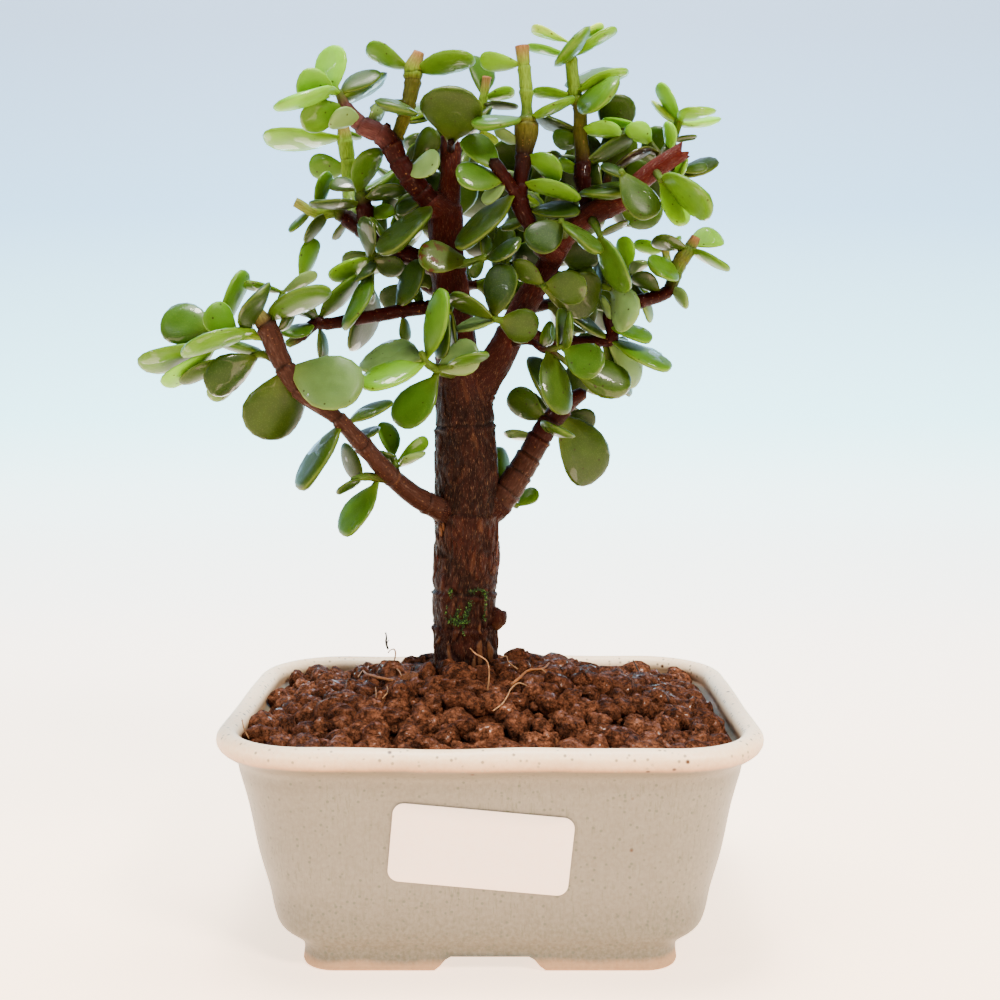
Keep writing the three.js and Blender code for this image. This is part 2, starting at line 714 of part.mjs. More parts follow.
    leaves: [[661, 182, 684, 226, 26, -2], [662, 180, 711, 205, 25, -5]],
  },
  {
    name: 'shoot_red_middle',
    stems: [[[630, 192, -8, 10], [624, 176, -17, 7], [621, 171, -19, 6]]],
    leaves: [[621, 172, 652, 218, 30, -4], [624, 178, 605, 164, 12, 6]],
  },
  {
    name: 'branch_right',
    stems: [
      [[512, 330, 4, 17], [540, 338, 9, 14], [570, 342, 9, 13], [600, 341, 7, 13],
        [612, 338, 5, 13], [608, 314, 5, 10], [618, 305, 5, 12], [645, 300, 6, 14],
        [668, 291, 8, 13], [676, 272, 10, 14], [680, 262, 11, 16], [690, 248, 12, 13],
        [696, 237, 12, 10]],
      [[676, 272, 11, 9], [668, 262, 19, 8], [664, 243, 24, 8]],
      [[645, 300, 6, 8], [634, 286, 12, 7], [630, 272, 15, 6]],
    ],
    leaves: [
      [630, 272, 620, 238, 22, 4], [632, 275, 644, 261, 15, -5], [664, 250, 634, 245, 15, 4],
      [687, 250, 654, 238, 14, -5], [690, 245, 720, 235, 20, 5], [690, 250, 730, 269, 13, -5],
      [666, 250, 678, 241, 9, 5], [678, 270, 653, 270, 28, -8], [660, 293, 634, 274, 17, -5],
      [672, 288, 688, 306, 15, -5], [642, 302, 652, 318, 10, 5], [609, 318, 605, 300, 8, -5],
      [608, 338, 560, 306, 13, -5], [609, 325, 651, 341, 14, -5], [612, 340, 671, 369, 15, -5],
      [611, 341, 652, 353, 9, 6], [608, 341, 640, 378, 26, 5], [604, 343, 631, 384, 38, 8],
    ],
  },
  {
    name: 'shoot_right_upper',
    stems: [[[590, 218, -5, 10], [597, 228, -13, 8], [600, 236, -15, 6]]],
    leaves: [[599, 236, 629, 291, 26, -3], [600, 234, 627, 223, 9, 5]],
  },
  {
    name: 'shoot_pale_sage',
    stems: [[[545, 272, 2, 9], [580, 280, 0, 8], [612, 289, -3, 6]]],
    leaves: [[613, 289, 632, 325, 30, -4], [606, 287, 600, 262, 16, 6]],
  },
  {
    name: 'shoot_inner_left',
    stems: [[[450, 264, 5, 10], [470, 262, -8, 8], [486, 257, -10, 7]]],
    leaves: [
      [483, 256, 487, 236, 14, 4], [486, 258, 519, 246, 16, -4], [484, 262, 470, 276, 12, -4],
      [468, 260, 418, 256, 27, -5],
    ],
  },
  {
    name: 'shoot_inner_right',
    stems: [[[518, 322, 2, 9], [505, 321, -9, 8], [494, 319, -12, 7]]],
    leaves: [
      [493, 317, 507, 264, 29, -2], [499, 320, 538, 330, 34, -6], [493, 319, 450, 294, 16, -4],
      [492, 322, 458, 327, 14, 5],
    ],
  },
  {
    name: 'shoot_glossy_pair',
    stems: [[[538, 284, 1, 10], [542, 284, -10, 7], [545, 288, -12, 6]]],
    leaves: [
      [543, 284, 513, 262, 23, -3], [545, 286, 587, 288, 32, -5], [546, 292, 600, 296, 45, 7],
    ],
  },
  {
    name: 'shoot_round_pair',
    stems: [[[566, 238, -3, 10], [562, 226, -13, 7], [561, 220, -15, 6]]],
    leaves: [[560, 222, 533, 250, 34, -5], [562, 220, 596, 252, 17, -4]],
  },
  {
    name: 'shoot_fork_right',
    stems: [
      [[506, 344, 3, 9], [532, 342, -4, 7], [545, 350, -8, 7], [564, 346, -10, 6]],
      [[551, 350, -9, 6], [566, 362, -4, 6], [572, 368, 0, 6]],
    ],
    leaves: [
      [564, 348, 601, 371, 34, -5], [574, 369, 631, 384, 38, 3], [540, 347, 553, 324, 17, 5],
      [558, 347, 561, 308, 10, 4], [564, 345, 571, 320, 9, -4], [549, 351, 563, 415, 33, -4],
    ],
  },
  {
    name: 'branch_right_low',
    stems: [
      [[474, 512, 6, 30], [495, 505, 6, 30], [508, 490, 6, 29], [520, 472, 6, 27],
        [530, 455, 6, 25], [540, 437, 6, 24], [552, 420, 6, 22], [565, 405, 5, 20],
        [583, 393, 5, 13]],
      [[512, 484, 8, 8], [508, 500, 16, 7], [517, 506, 20, 6]],
    ],
    leaves: [
      [545, 418, 508, 395, 27, 6], [552, 412, 538, 358, 26, 6], [536, 436, 509, 436, 15, 6],
      [543, 428, 565, 432, 12, -6], [561, 418, 598, 479, 45, 6], [508, 497, 500, 447, 12, 6],
      [518, 506, 536, 489, 17, 4],
    ],
  },
  {
    name: 'shoot_back_crown',
    stems: [
      [[449, 252, 8, 14], [456, 235, 22, 12], [452, 205, 33, 11], [444, 175, 39, 9],
        [440, 152, 42, 7]],
    ],
    pairs: [14, 15], // first pair's place and leaf length in mm
  },
  {
    name: 'shoot_back_centre',
    stems: [
      [[546, 268, 2, 13], [556, 245, 18, 12], [560, 215, 31, 10], [556, 185, 39, 8],
        [552, 160, 42, 7]],
    ],
    pairs: [14, 15],
  },
  {
    name: 'shoot_back_left',
    stems: [
      [[452, 296, 8, 14], [430, 288, 24, 12], [402, 268, 34, 10], [386, 240, 40, 8],
        [380, 222, 42, 6]],
    ],
    pairs: [14, 15],
  },
  {
    name: 'shoot_back_right',
    stems: [
      [[522, 310, 4, 13], [556, 302, 22, 11], [594, 292, 32, 9], [622, 282, 38, 7]],
    ],
    pairs: [14, 15],
  },
  {
    name: 'shoot_back_low',
    stems: [
      [[538, 442, 8, 12], [556, 412, 20, 10], [572, 388, 28, 8], [590, 366, 32, 6]],
    ],
    pairs: [14, 13],
  },
  {
    name: 'shoot_back_top_right',
    stems: [
      [[604, 210, -3, 12], [618, 200, 14, 10], [636, 184, 24, 8], [650, 168, 29, 6]],
    ],
    pairs: [14, 13],
  },
  {
    name: 'shoot_inner_centre',
    stems: [
      [[556, 252, 0, 12], [542, 228, 12, 10], [530, 200, 22, 9], [522, 172, 28, 7]],
    ],
    pairs: [9, 14],
  },
  {
    name: 'shoot_inner_upper_left',
    stems: [
      [[449, 240, 6, 12], [428, 226, 16, 10], [414, 204, 24, 8], [408, 178, 29, 6]],
    ],
    pairs: [9, 14],
  },
  {
    name: 'shoot_inner_lower',
    stems: [
      [[454, 286, 8, 12], [478, 284, 16, 9], [502, 274, 20, 8], [516, 256, 23, 6]],
    ],
    pairs: [9, 14],
  },
  {
    name: 'shoot_inner_top',
    stems: [
      [[600, 208, -3, 11], [606, 184, 8, 9], [612, 158, 16, 8], [614, 132, 21, 6]],
    ],
    pairs: [9, 13],
  },
];

/** All leaves, drawn ones first, each kept clear of those before it. */
function placeLeaves() {
  const poles = poleList([...TRUNK, ...BRANCHES.flatMap((branch) => branch.stems)]);
  const placed = [];
  for (const branch of BRANCHES) placeDrawn(branch, placed, poles);
  BRANCHES.forEach((branch, index) => {
    if (branch.pairs) placePairs(branch, index, placed, poles);
  });
  return placed;
}

function trunkBody(margin = 0) {
  return TRUNK.map((marks) => solid(stem(marks, margin)))
    .reduce((body, limb) => body.add(limb));
}

/** Stems and leaves of one branch, fused. */
function branchBody(branch, leaves, margin = 0) {
  const parts = [
    ...branch.stems.map((marks) => solid(stem(marks, margin))),
    ...leaves.map((leaf) => solid(blade(leaf, margin))),
  ];
  return parts.reduce((body, part) => body.add(part));
}

/** Every branch, cut back by the gap where it meets the trunk or a branch made before it. */
function makeBranches() {
  const placed = placeLeaves();
  const cutters = [trunkBody(GAP)];
  const meshes = [];
  for (const branch of BRANCHES) {
    const leaves = placed.filter((item) => item.branch === branch.name).map((item) => item.leaf);
    let body = branchBody(branch, leaves);
    for (const cutter of cutters) {
      if (cutter.intersect(body).volume() > 0) body = body.subtract(cutter);
    }
    meshes.push(piece(branch.name, body, { color: 0x5f8a2a, roughness: 0.35 }));
    cutters.push(branchBody(branch, leaves, GAP));
  }
  return meshes;
}

// ---------------------------------------------------------------- soil

/** Height of the mound of granules, highest around the bole. */
function mound(x, y) {
  const out = Math.min(1, Math.hypot(x / SOIL.reachX, y / SOIL.reachY));
  return mix(SOIL.crown, SOIL.edge, out ** SOIL.fall);
}

/** Slab whose top is a close field of granules: each a strayed peak between low joints. */
function granuleField() {
  const step = SOIL.granule;
  const rowStep = step * Math.sqrt(3) / 2;
  const rows = 2 * Math.ceil(INNER_WALL[0][2] / rowStep) + 3;
  const columns = 2 * Math.ceil(INNER_WALL[0][1] / step) + 3;
  const spots = [];
  const stray = (seed) => (draw(seed) * 2 - 1) * SOIL.stray * step;
  for (let row = 0; row < rows; row += 1) {
    for (let column = 0; column < columns; column += 1) {
      const seed = row * columns + column;
      const x = (column - (columns - 1) / 2 + (row % 2) / 2) * step + stray(seed);
      const y = (row - (rows - 1) / 2) * rowStep + stray(seed + 0.3);
      spots.push(new THREE.Vector2(x, y));
    }
  }
  const points = spots.map((spot, i) => new THREE.Vector3(
    spot.x,
    spot.y,
    mound(spot.x, spot.y) + SOIL.relief * mix(1 / 4, 1, draw(i + 0.7)),
  ));
  const faces = [];
  const addTriangle = (a, b, c) => {
    const middle = points.length;
    const x = (spots[a].x + spots[b].x + spots[c].x) / 3;
    const y = (spots[a].y + spots[b].y + spots[c].y) / 3;
    points.push(new THREE.Vector3(x, y, mound(x, y) - SOIL.relief * SOIL.joint));
    faces.push(a, b, middle, b, c, middle, c, a, middle);
  };
  for (let row = 0; row < rows - 1; row += 1) {
    for (let column = 0; column < columns - 1; column += 1) {
      const a = row * columns + column;
      const c = a + columns;
      if (row % 2 === 0) {
        addTriangle(a, a + 1, c);
        addTriangle(a + 1, c + 1, c);
      } else {
        addTriangle(a, a + 1, c + 1);
        addTriangle(a, c + 1, c);
      }
    }
  }
  return closeBelow(points, faces, 0);
}

/** Closes an open sheet into a slab by a skirt and a flat underside. */
function closeBelow(points, faces, floor) {
  const edges = new Map();
  for (let i = 0; i < faces.length; i += 3) {
    for (let k = 0; k < 3; k += 1) {
      const a = faces[i + k];
      const b = faces[i + ((k + 1) % 3)];
      edges.set(`${a},${b}`, [a, b]);
    }
  }
  const border = [...edges.values()].filter(([a, b]) => !edges.has(`${b},${a}`));
  const under = points.length;
  points.push(...points.map((point) => new THREE.Vector3(point.x, point.y, floor)));
  const top = [...faces];
  for (let i = 0; i < top.length; i += 3) {
    faces.push(top[i + 2] + under, top[i + 1] + under, top[i] + under);
  }
  for (const [a, b] of border) {
    faces.push(b, a, a + under, b, a + under, b + under);
  }
  const geometry = new THREE.BufferGeometry().setFromPoints(points);
  geometry.setIndex(faces);
  return geometry;
}

function makeSoil() {
  const plugRings = [...INNER_WALL].reverse().map(([height, halfWidth, halfDepth, radius], i) => (
    potRing(height + (i === 0 ? GAP : 0), halfWidth - GAP, halfDepth - GAP, radius - GAP)
  ));
  const [, width, depth, radius] = INNER_WALL[0];
  const above = SOIL.crown + 2 * SOIL.relief;
  plugRings.push(potRing(above, width - GAP, depth - GAP, radius - GAP));
  const hole = stem(TRUNK[0].slice(0, 3), GAP);
  return solid(granuleField())
    .intersect(solid(loft(plugRings)))
    .subtract(solid(hole))
    .subtract(netSquare(GAP));
}

// ---------------------------------------------------------------- net and label

/** Square of the net's outline, grown by a margin to make room for it in the soil. */
function netSquare(margin) {
  const side = NET.side + 2 * margin;
  const height = NET.thickness + 2 * margin;
  const square = new THREE.BoxGeometry(side, side, height);
  square.translate(0, 0, POT.floor + GAP + NET.thickness / 2);
  return solid(square);
}

/** Plastic net that keeps the granules in above the drain hole. */
function makeNet() {
  const pitch = NET.cell + NET.bar;
  let net = netSquare(0);
  for (const i of [-1, 0, 1]) {
    for (const j of [-1, 0, 1]) {
      const cell = new THREE.BoxGeometry(NET.cell, NET.cell, 4 * POT.floor);
      cell.translate(i * pitch, j * pitch, 0);
      net = net.subtract(solid(cell));
    }
  }
  return net;
}

/** Blank sticker with round corners, flat against the front wall. */
function makeLabel() {
  const halfWidth = LABEL.width / 2;
  const halfHeight = LABEL.height / 2;
  const outline = new THREE.Shape(potRing(0, halfWidth, halfHeight, LABEL.corner, 3)
    .map((point) => new THREE.Vector2(point.x, point.y)));
  const sticker = new THREE.ExtrudeGeometry(outline, {
    depth: LABEL.thickness,
    bevelEnabled: false,
  });
  const low = LABEL.z - halfHeight;
  const high = LABEL.z + halfHeight;
  const slope = Math.atan2(frontWall(low) - frontWall(high), high - low);
  sticker.rotateZ(radians(-LABEL.tilt));
  sticker.rotateX(Math.PI / 2 + slope);
  sticker.translate(LABEL.x, frontWall(LABEL.z) - GAP, LABEL.z);
  return solid(sticker);
}

// ---------------------------------------------------------------- the whole

const group = new THREE.Group();
group.add(
  piece('pot', makePot(), { color: 0xb9b3a3, roughness: 0.3 }),
  piece('drain_net', makeNet(), { color: 0x2b2b2b, roughness: 0.6 }),
  piece('soil', makeSoil(), { color: 0x6b3a22, roughness: 0.9 }),
  piece('trunk', trunkBody(), { color: 0x4a2416, roughness: 0.6 }),
  ...makeBranches(),
  piece('label', makeLabel(), { color: 0xf6e9e2, roughness: 0.5 }),
);

const whole = new THREE.Box3().setFromObject(group);
const middle = whole.getCenter(new THREE.Vector3());
group.position.set(-middle.x, -middle.y, 0);

export default group;
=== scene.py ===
"""Dwarf jade bonsai (Portulacaria afra) in a glazed rectangular pot, dressed on its fixed frame."""

import bpy
import numpy as np
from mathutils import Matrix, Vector


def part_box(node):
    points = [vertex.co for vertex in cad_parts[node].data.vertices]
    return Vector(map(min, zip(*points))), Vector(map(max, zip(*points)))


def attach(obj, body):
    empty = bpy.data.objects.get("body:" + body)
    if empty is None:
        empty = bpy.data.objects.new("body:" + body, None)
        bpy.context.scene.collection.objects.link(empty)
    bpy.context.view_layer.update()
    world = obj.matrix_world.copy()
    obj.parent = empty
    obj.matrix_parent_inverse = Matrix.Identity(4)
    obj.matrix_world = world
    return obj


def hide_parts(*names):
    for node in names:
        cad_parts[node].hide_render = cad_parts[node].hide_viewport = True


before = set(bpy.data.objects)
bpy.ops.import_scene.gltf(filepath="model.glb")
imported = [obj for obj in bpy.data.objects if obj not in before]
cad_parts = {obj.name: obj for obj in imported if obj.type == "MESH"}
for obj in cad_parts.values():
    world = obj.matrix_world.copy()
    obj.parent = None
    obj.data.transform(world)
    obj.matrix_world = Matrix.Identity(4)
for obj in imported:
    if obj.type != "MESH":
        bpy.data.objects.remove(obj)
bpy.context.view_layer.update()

# ------------------------------------------------------------------ where things stand
# The plant and its pot were set out in millimetres round the pot's own axis. The pot gives
# the place of that axis in the frame, and everything below is put there.

pot_low, pot_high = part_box("pot")
AXIS = np.array([(pot_low.x + pot_high.x) / 2, (pot_low.y + pot_high.y) / 2, 0.0])


def in_frame(points):
    """Millimetres from the pot's axis to metres in the frame."""
    return np.asarray(points, float) / 1000 + AXIS


# Branches are drawn on an upright board of 1000 units, seen from an eye in front of the pot.
EYE = np.array([2.7, -392.0, 158.0])
FOCUS = 1335.0
PITCH = 0.0923
CENTRE = 500.0


def board(u, v, y):
    """Point in millimetres that lies behind the mark (u, v) of the board, at depth y."""
    rise = (CENTRE - v) / FOCUS
    reach = (y - EYE[1]) / (np.cos(PITCH) + rise * np.sin(PITCH))
    across = EYE[0] + reach * (u - CENTRE) / FOCUS
    up = EYE[2] + reach * (rise * np.cos(PITCH) - np.sin(PITCH))
    return np.stack(np.broadcast_arrays(across, y, up), -1).astype(float)


def unit(y):
    """Millimetres to one unit of the board at a depth."""
    return (y - EYE[1]) / FOCUS


camera_data = bpy.data.cameras.new("eye")
camera_data.sensor_width = 36
camera_data.lens = FOCUS / 1000 * camera_data.sensor_width
camera_data.clip_start = 0.01
camera = bpy.data.objects.new("eye", camera_data)
camera.location = in_frame(EYE)
camera.rotation_euler = (np.pi / 2 - PITCH, 0, 0)
bpy.context.scene.collection.objects.link(camera)
bpy.context.scene.camera = camera


# ------------------------------------------------------------------ studio
# A sheet of matt paper runs forward as the floor and curves up behind. Square soft lamps stand at
# the right front, above, at the left and over the paper's rise, and the room gives a pale fill.

def linear(code):
    """Linear colour of an sRGB hex code: c / 12.92 in the dark, ((c + 0.055) / 1.055)^2.4 above."""
    tone = np.array([int(code[i:i + 2], 16) for i in (1, 3, 5)]) / 255
    tone = np.where(tone > 0.04045, ((tone + 0.055) / 1.055) ** 2.4, tone / 12.92)
    return (*tone.tolist(), 1.0)


def feed(node, inputs):
    """Fills a node's inputs: each is a value, a colour code, or the node or output that feeds it."""
    for name, value in inputs.items():
        if isinstance(value, bpy.types.Node):
            value = next(output for output in value.outputs if output.enabled)
        if isinstance(value, bpy.types.NodeSocket):
            node.id_data.links.new(value, node.inputs[name])
        else:
            node.inputs[name].default_value = linear(value) if isinstance(value, str) else value


def add(tree, kind, inputs={}, **settings):
    """Adds one node with its settings and inputs. A Mix mixes colours if nothing else is set."""
    made = tree.nodes.new("ShaderNode" + kind)
    if kind == "Mix":
        made.data_type = "RGBA"
    for name, value in settings.items():
        setattr(made, name, value)
    feed(made, inputs)
    return made


def new_finish(name):
    """Starts a finish: its material, its nodes, its shader, and the place on the object."""
    material = bpy.data.materials.new(name)
    material.use_nodes = True
    tree = material.node_tree
    return material, tree, tree.nodes["Principled BSDF"], add(tree, "TexCoord").outputs["Object"]


def sheet_of(points, blocks, name, finish):
    """Mesh object from an array of points and blocks of faces, each an array of corner numbers."""
    mesh = bpy.data.meshes.new(name)
    faces = [face for block in blocks for face in block.tolist()]
    mesh.from_pydata(points.reshape(-1, 3).tolist(), [], faces)
    mesh.shade_smooth()
    mesh.materials.append(finish)
    made = bpy.data.objects.new(name, mesh)
    bpy.context.scene.collection.objects.link(made)
    return made


def net(rows, columns, start=0, ring=True, loop=False):
    """Four-cornered faces of a grid whose first corner is at start. Ring closes each row on itself,
    and loop joins the last row to the first."""
    i = np.arange(rows if loop else rows - 1)[:, None]
    j = np.arange(columns if ring else columns - 1)[None, :]
    near, far = i * columns, (i + 1) % rows * columns
    right = (j + 1) % columns
    return start + np.stack([near + j, near + right, far + right, far + j], -1).reshape(-1, 4)


matt_paper, tree, shader, place = new_finish("matt_paper")
# Paper: no gloss at all, peach in front of the pot, white behind it, then pale cyan that turns to
# a greyer blue as it climbs away. The sheet also glows as painted light, a fill from the paper
# itself: strongest in front, lifted behind, and fading as it climbs.
away = add(tree, "SeparateXYZ", {0: place})
near = add(tree, "MapRange", {0: away.outputs["Y"], 1: -0.22, 2: 0.55})
pale = add(tree, "Mix", {0: near, 6: "#ffdab6", 7: "#fffaf2"})
low = add(tree, "MapRange", {0: away.outputs["Z"], 2: 0.1})
cyan = add(tree, "Mix", {0: low, 6: "#e1ffff", 7: "#b4f4ff"})
middle = add(tree, "MapRange", {0: away.outputs["Z"], 1: 0.1, 2: 0.42})
blue = add(tree, "Mix", {0: middle, 6: cyan, 7: "#8ebcdf"})
high = add(tree, "MapRange", {0: away.outputs["Z"], 1: 0.42, 2: 0.72})
grey = add(tree, "Mix", {0: high, 6: blue, 7: "#8fa6c3"})
back = add(tree, "MapRange", {0: away.outputs["Y"], 1: 0.45, 2: 1.35})
tone = add(tree, "Mix", {0: back, 6: pale, 7: grey})
# Painted light: the sheet's glow, 2.8 in front falling to 2.3, lifted by up to 1.1 behind, and less by up
# to 1.3 high up.
painted_glow = add(tree, "MapRange", {0: away.outputs["Y"], 1: -0.22, 2: 0.55, 3: 2.8, 4: 2.3})
lift = add(tree, "MapRange", {0: away.outputs["Y"], 1: 0.55, 2: 1.3, 4: 1.1})
painted_glow_fade = add(tree, "MapRange", {0: away.outputs["Z"], 2: 0.7, 4: -1.3})
lifted = add(tree, "Math", {0: painted_glow, 1: lift}, operation="ADD")
painted_glow_strength = add(tree, "Math", {0: lifted, 1: painted_glow_fade}, operation="ADD")
feed(shader, {
    "Base Color": tone, "Emission Color": tone, "Emission Strength": painted_glow_strength, "Roughness": 0.95,
    "Specular IOR Level": 0.1,
})

# The sheet's section in metres: flat from its near edge, then a quarter round, then upright.
SHEET_NEAR, SHEET_FLAT, SHEET_BEND, SHEET_TOP, SHEET_SIDE = -1.6, 1.1, 0.7, 2.6, 2.4
bend = np.linspace(0, np.pi / 2, 24)
section = np.concatenate([
    [[SHEET_NEAR, 0.0]],
    np.stack([SHEET_FLAT + SHEET_BEND * np.sin(bend), SHEET_BEND - SHEET_BEND * np.cos(bend)], -1),
    [[SHEET_FLAT + SHEET_BEND, SHEET_TOP]],
])
side = np.linspace(-SHEET_SIDE, SHEET_SIDE, 3)
paper = np.stack(np.broadcast_arrays(side[None, :], section[:, :1], section[:, 1:]), -1)
sweep = sheet_of(paper, [net(len(section), len(side), ring=False)], "paper_sweep", matt_paper)


def lamp(name, place, aim, size, power, colour):
    """Square soft lamp at a place, turned to face an aim."""
    data = bpy.data.lights.new(name, "AREA")
    data.size, data.energy, data.color = size, power, linear(colour)[:3]
    made = bpy.data.objects.new(name, data)
    made.location = place
    made.rotation_euler = (Vector(aim) - Vector(place)).to_track_quat("-Z", "Y").to_euler()
    bpy.context.scene.collection.objects.link(made)


lamp("key_lamp", (0.65, -0.75, 1.0), (0, 0, 0.12), 0.3, 30, "#fff2e2")
lamp("top_lamp", (-0.05, 0.05, 1.25), (0, 0, 0.1), 0.42, 34, "#fffaf2")
lamp("left_lamp", (-1.0, -0.7, 0.6), (0, 0, 0.12), 0.3, 8, "#f4f6ff")
lamp("wall_lamp", (0, 0.5, 1.9), (0, 1.7, 0.7), 1.4, 40, "#ffffff")

room = bpy.data.worlds.new("pale_room")
room.use_nodes = True
room.node_tree.nodes["Background"].inputs["Color"].default_value = linear("#eef3f8")
room.node_tree.nodes["Background"].inputs["Strength"].default_value = 0.12
bpy.context.scene.world = room


# ------------------------------------------------------------------ pot
# Slip-cast stoneware, oblong with round corners, on a low foot ring notched on all four sides.
# Its satin glaze is grey-green and speckled, thins to pink cream on the rolled lip, and is
# wiped off the foot before firing.

def through(knots, values, at):
    """Smooth curve through values at knots: Hermite cubics with the mean slope at each knot."""
    slopes = np.gradient(values, knots, axis=0)
    k = np.clip(np.searchsorted(knots, at, side="right") - 1, 0, len(knots) - 2)
    span = (knots[k + 1] - knots[k])[:, None]
    t = (at - knots[k])[:, None] / span
    return (
        (2 * t**3 - 3 * t**2 + 1) * values[k] + (t**3 - 2 * t**2 + t) * span * slopes[k]
        + (3 * t**2 - 2 * t**3) * values[k + 1] + (t**3 - t**2) * span * slopes[k + 1]
    )


def run_of(points):
    """Distance along a broken line to each of its points."""
    steps = np.linalg.norm(np.diff(points, axis=0), axis=1)
    return np.concatenate([[0], np.cumsum(steps)])


# Each column of the pot's skin is a point of a round corner or of a straight side between two:
# the signs of its corner's middle, and the direction in which it stands off from there.
CORNER_STEPS, SIDE_STEPS = 14, 56
turns, signs_x, signs_y = [], [], []
straight = np.linspace(0, 1, SIDE_STEPS + 1)[1:-1]
CORNERS = [(1, 1), (-1, 1), (-1, -1), (1, -1)]
for corner, ((sx, sy), (nx, ny)) in enumerate(zip(CORNERS, CORNERS[1:] + CORNERS[:1])):
    turns.append(corner + np.linspace(0, 1, CORNER_STEPS + 1))
    turns.append(np.full(len(straight), corner + 1.0))
    signs_x.append(np.full(CORNER_STEPS + 1, float(sx)))
    signs_x.append(sx + (nx - sx) * straight)
    signs_y.append(np.full(CORNER_STEPS + 1, float(sy)))
    signs_y.append(sy + (ny - sy) * straight)
turns = np.concatenate(turns) * np.pi / 2
signs_x, signs_y = np.concatenate(signs_x), np.concatenate(signs_y)


def oblong(rows):
    """Rings of a rectangle with round corners, one to a row: height, half width, half depth and
    corner radius."""
    z, width, depth, radius = (np.asarray(rows, float)[:, [k]] for k in range(4))
    x = signs_x * (width - radius) + radius * np.cos(turns)
    y = signs_y * (depth - radius) + radius * np.sin(turns)
    return np.stack(np.broadcast_arrays(x, y, z), -1)


# Rows of the wall, in millimetres: height, half width, half depth, corner radius.
OUTER_WALL = [
    [0.9, 50.8, 49.3, 9], [4.5, 50.6, 48.8, 9.5], [10.5, 57.8, 50.9, 14], [19, 61, 51.8, 19.5],
    [28, 63.6, 52.8, 21], [43, 66.8, 54, 23], [50, 68.8, 54.9, 24], [54.5, 70.2, 55.8, 25],
]
INNER_WALL = [
    [56, 67.2, 53, 22], [50, 64.5, 50.6, 20], [28, 59, 48.4, 17], [13, 54, 46.8, 14],
    [9, 50, 43.5, 11],
]
LIP_RADIUS, LIP_HEIGHT = 3.1, 60.2
roll = np.radians(np.linspace(-55, 215, 16))
inward = LIP_RADIUS * (1 - np.cos(roll))
LIP_WIDTH, LIP_DEPTH, LIP_CORNER = 75, 60.7, 28
lip = np.stack([
    LIP_HEIGHT + LIP_RADIUS * np.sin(roll),
    LIP_WIDTH - inward, LIP_DEPTH - inward, LIP_CORNER - inward,
], -1)
wall = np.concatenate([OUTER_WALL, lip, INNER_WALL])
wall_run = run_of(wall[:, :2])
wall = through(wall_run, wall, np.linspace(0, wall_run[-1], 116))
wall[:, 0] = np.maximum(wall[:, 0], 0.9)

foot = [
    [4, 42.8, 41.3, 5], [0.8, 42.8, 41.3, 5], [0, 43.5, 42, 5.4], [0, 50, 48.5, 8.4],
    [0.3, 50.6, 49.1, 8.9],
]
skin = oblong(np.concatenate([foot, wall]))

# The notches lift the foot ring by up to 4 mm over the middle 30 mm of each side.
flat_side = np.abs(np.sin(turns)) > 0.999
reach = np.where(flat_side, skin[..., 0], skin[..., 1])
NOTCH_HALF, NOTCH_SLOPE, NOTCH_HEIGHT = 15, 4.5, 4
on_side = np.abs(np.abs(signs_x) + np.abs(signs_y) - 2) > 1e-9
share = np.clip((NOTCH_HALF - np.abs(reach)) / NOTCH_SLOPE, 0, 1) * on_side
lift = NOTCH_HEIGHT * share**2 * (3 - 2 * share)
skin[..., 2] += lift * np.clip(1 - skin[..., 2] / 4.9, 0, 1)

# Thrown off true by the firing: the lip dips and rises by half a millimetre, with one low hump
# at the front, and the wall leans in by a few tenths.
bearing = np.arctan2(skin[..., 1], skin[..., 0])
high = np.clip((skin[..., 2] - 40) / 18, 0, 1)
sway = 0.22 * np.sin(2 * bearing + 1) + 0.16 * np.sin(5 * bearing + 0.6) + 0.1 * np.sin(11 * bearing)
hump = np.where(skin[..., 1] < -40, 0.55 * np.exp(-(((skin[..., 0] - 11) / 11) ** 2)), 0)
skin[..., 2] += high * (sway - 0.25 + hump)
lean = 1 - high * 0.0022 * (1 + np.sin(3 * bearing + 2))
skin[..., 0] *= lean
skin[..., 1] *= lean

# The drain hole is 16 mm across, through a floor from 4 to 9 mm up.
DRAIN_RADIUS, FLOOR_LOW, FLOOR_HIGH = 8, 4, 9
bearing = np.arctan2(skin[0, :, 1], skin[0, :, 0])
drain = DRAIN_RADIUS * np.stack([np.cos(bearing), np.sin(bearing), 0 * bearing], -1)
skin = np.concatenate([(drain + [0, 0, FLOOR_LOW])[None], skin, (drain + [0, 0, FLOOR_HIGH])[None]])

glazed_stoneware, tree, shader, place = new_finish("speckled_satin_glaze")
# Satin stoneware glaze: soft gloss, specks of 0.5 to 1 mm, thinner and pinker at the lip, bare tan
# clay at the foot. Grain of the clay shows through as a very low relief.
height = add(tree, "SeparateXYZ", {0: place}).outputs["Z"]
cloud = add(tree, "TexNoise", {"Vector": place, "Scale": 45.0, "Detail": 5.0, "Roughness": 0.6})
fine = add(tree, "TexNoise", {"Vector": place, "Scale": 900.0, "Detail": 3.0, "Roughness": 0.6})
grey = add(tree, "Mix", {0: cloud, 6: "#656052", 7: "#78756a"})
low = add(tree, "MapRange", {0: height, 1: 0.024, 2: 0.006, 4: 0.75})
lower = add(tree, "Mix", {0: low, 6: grey, 7: "#524c38"})
mottle = add(tree, "MapRange", {0: fine, 1: 0.35, 2: 0.7, 4: 0.4})
mottled = add(tree, "Mix", {0: mottle, 6: lower, 7: "#8a887c"})
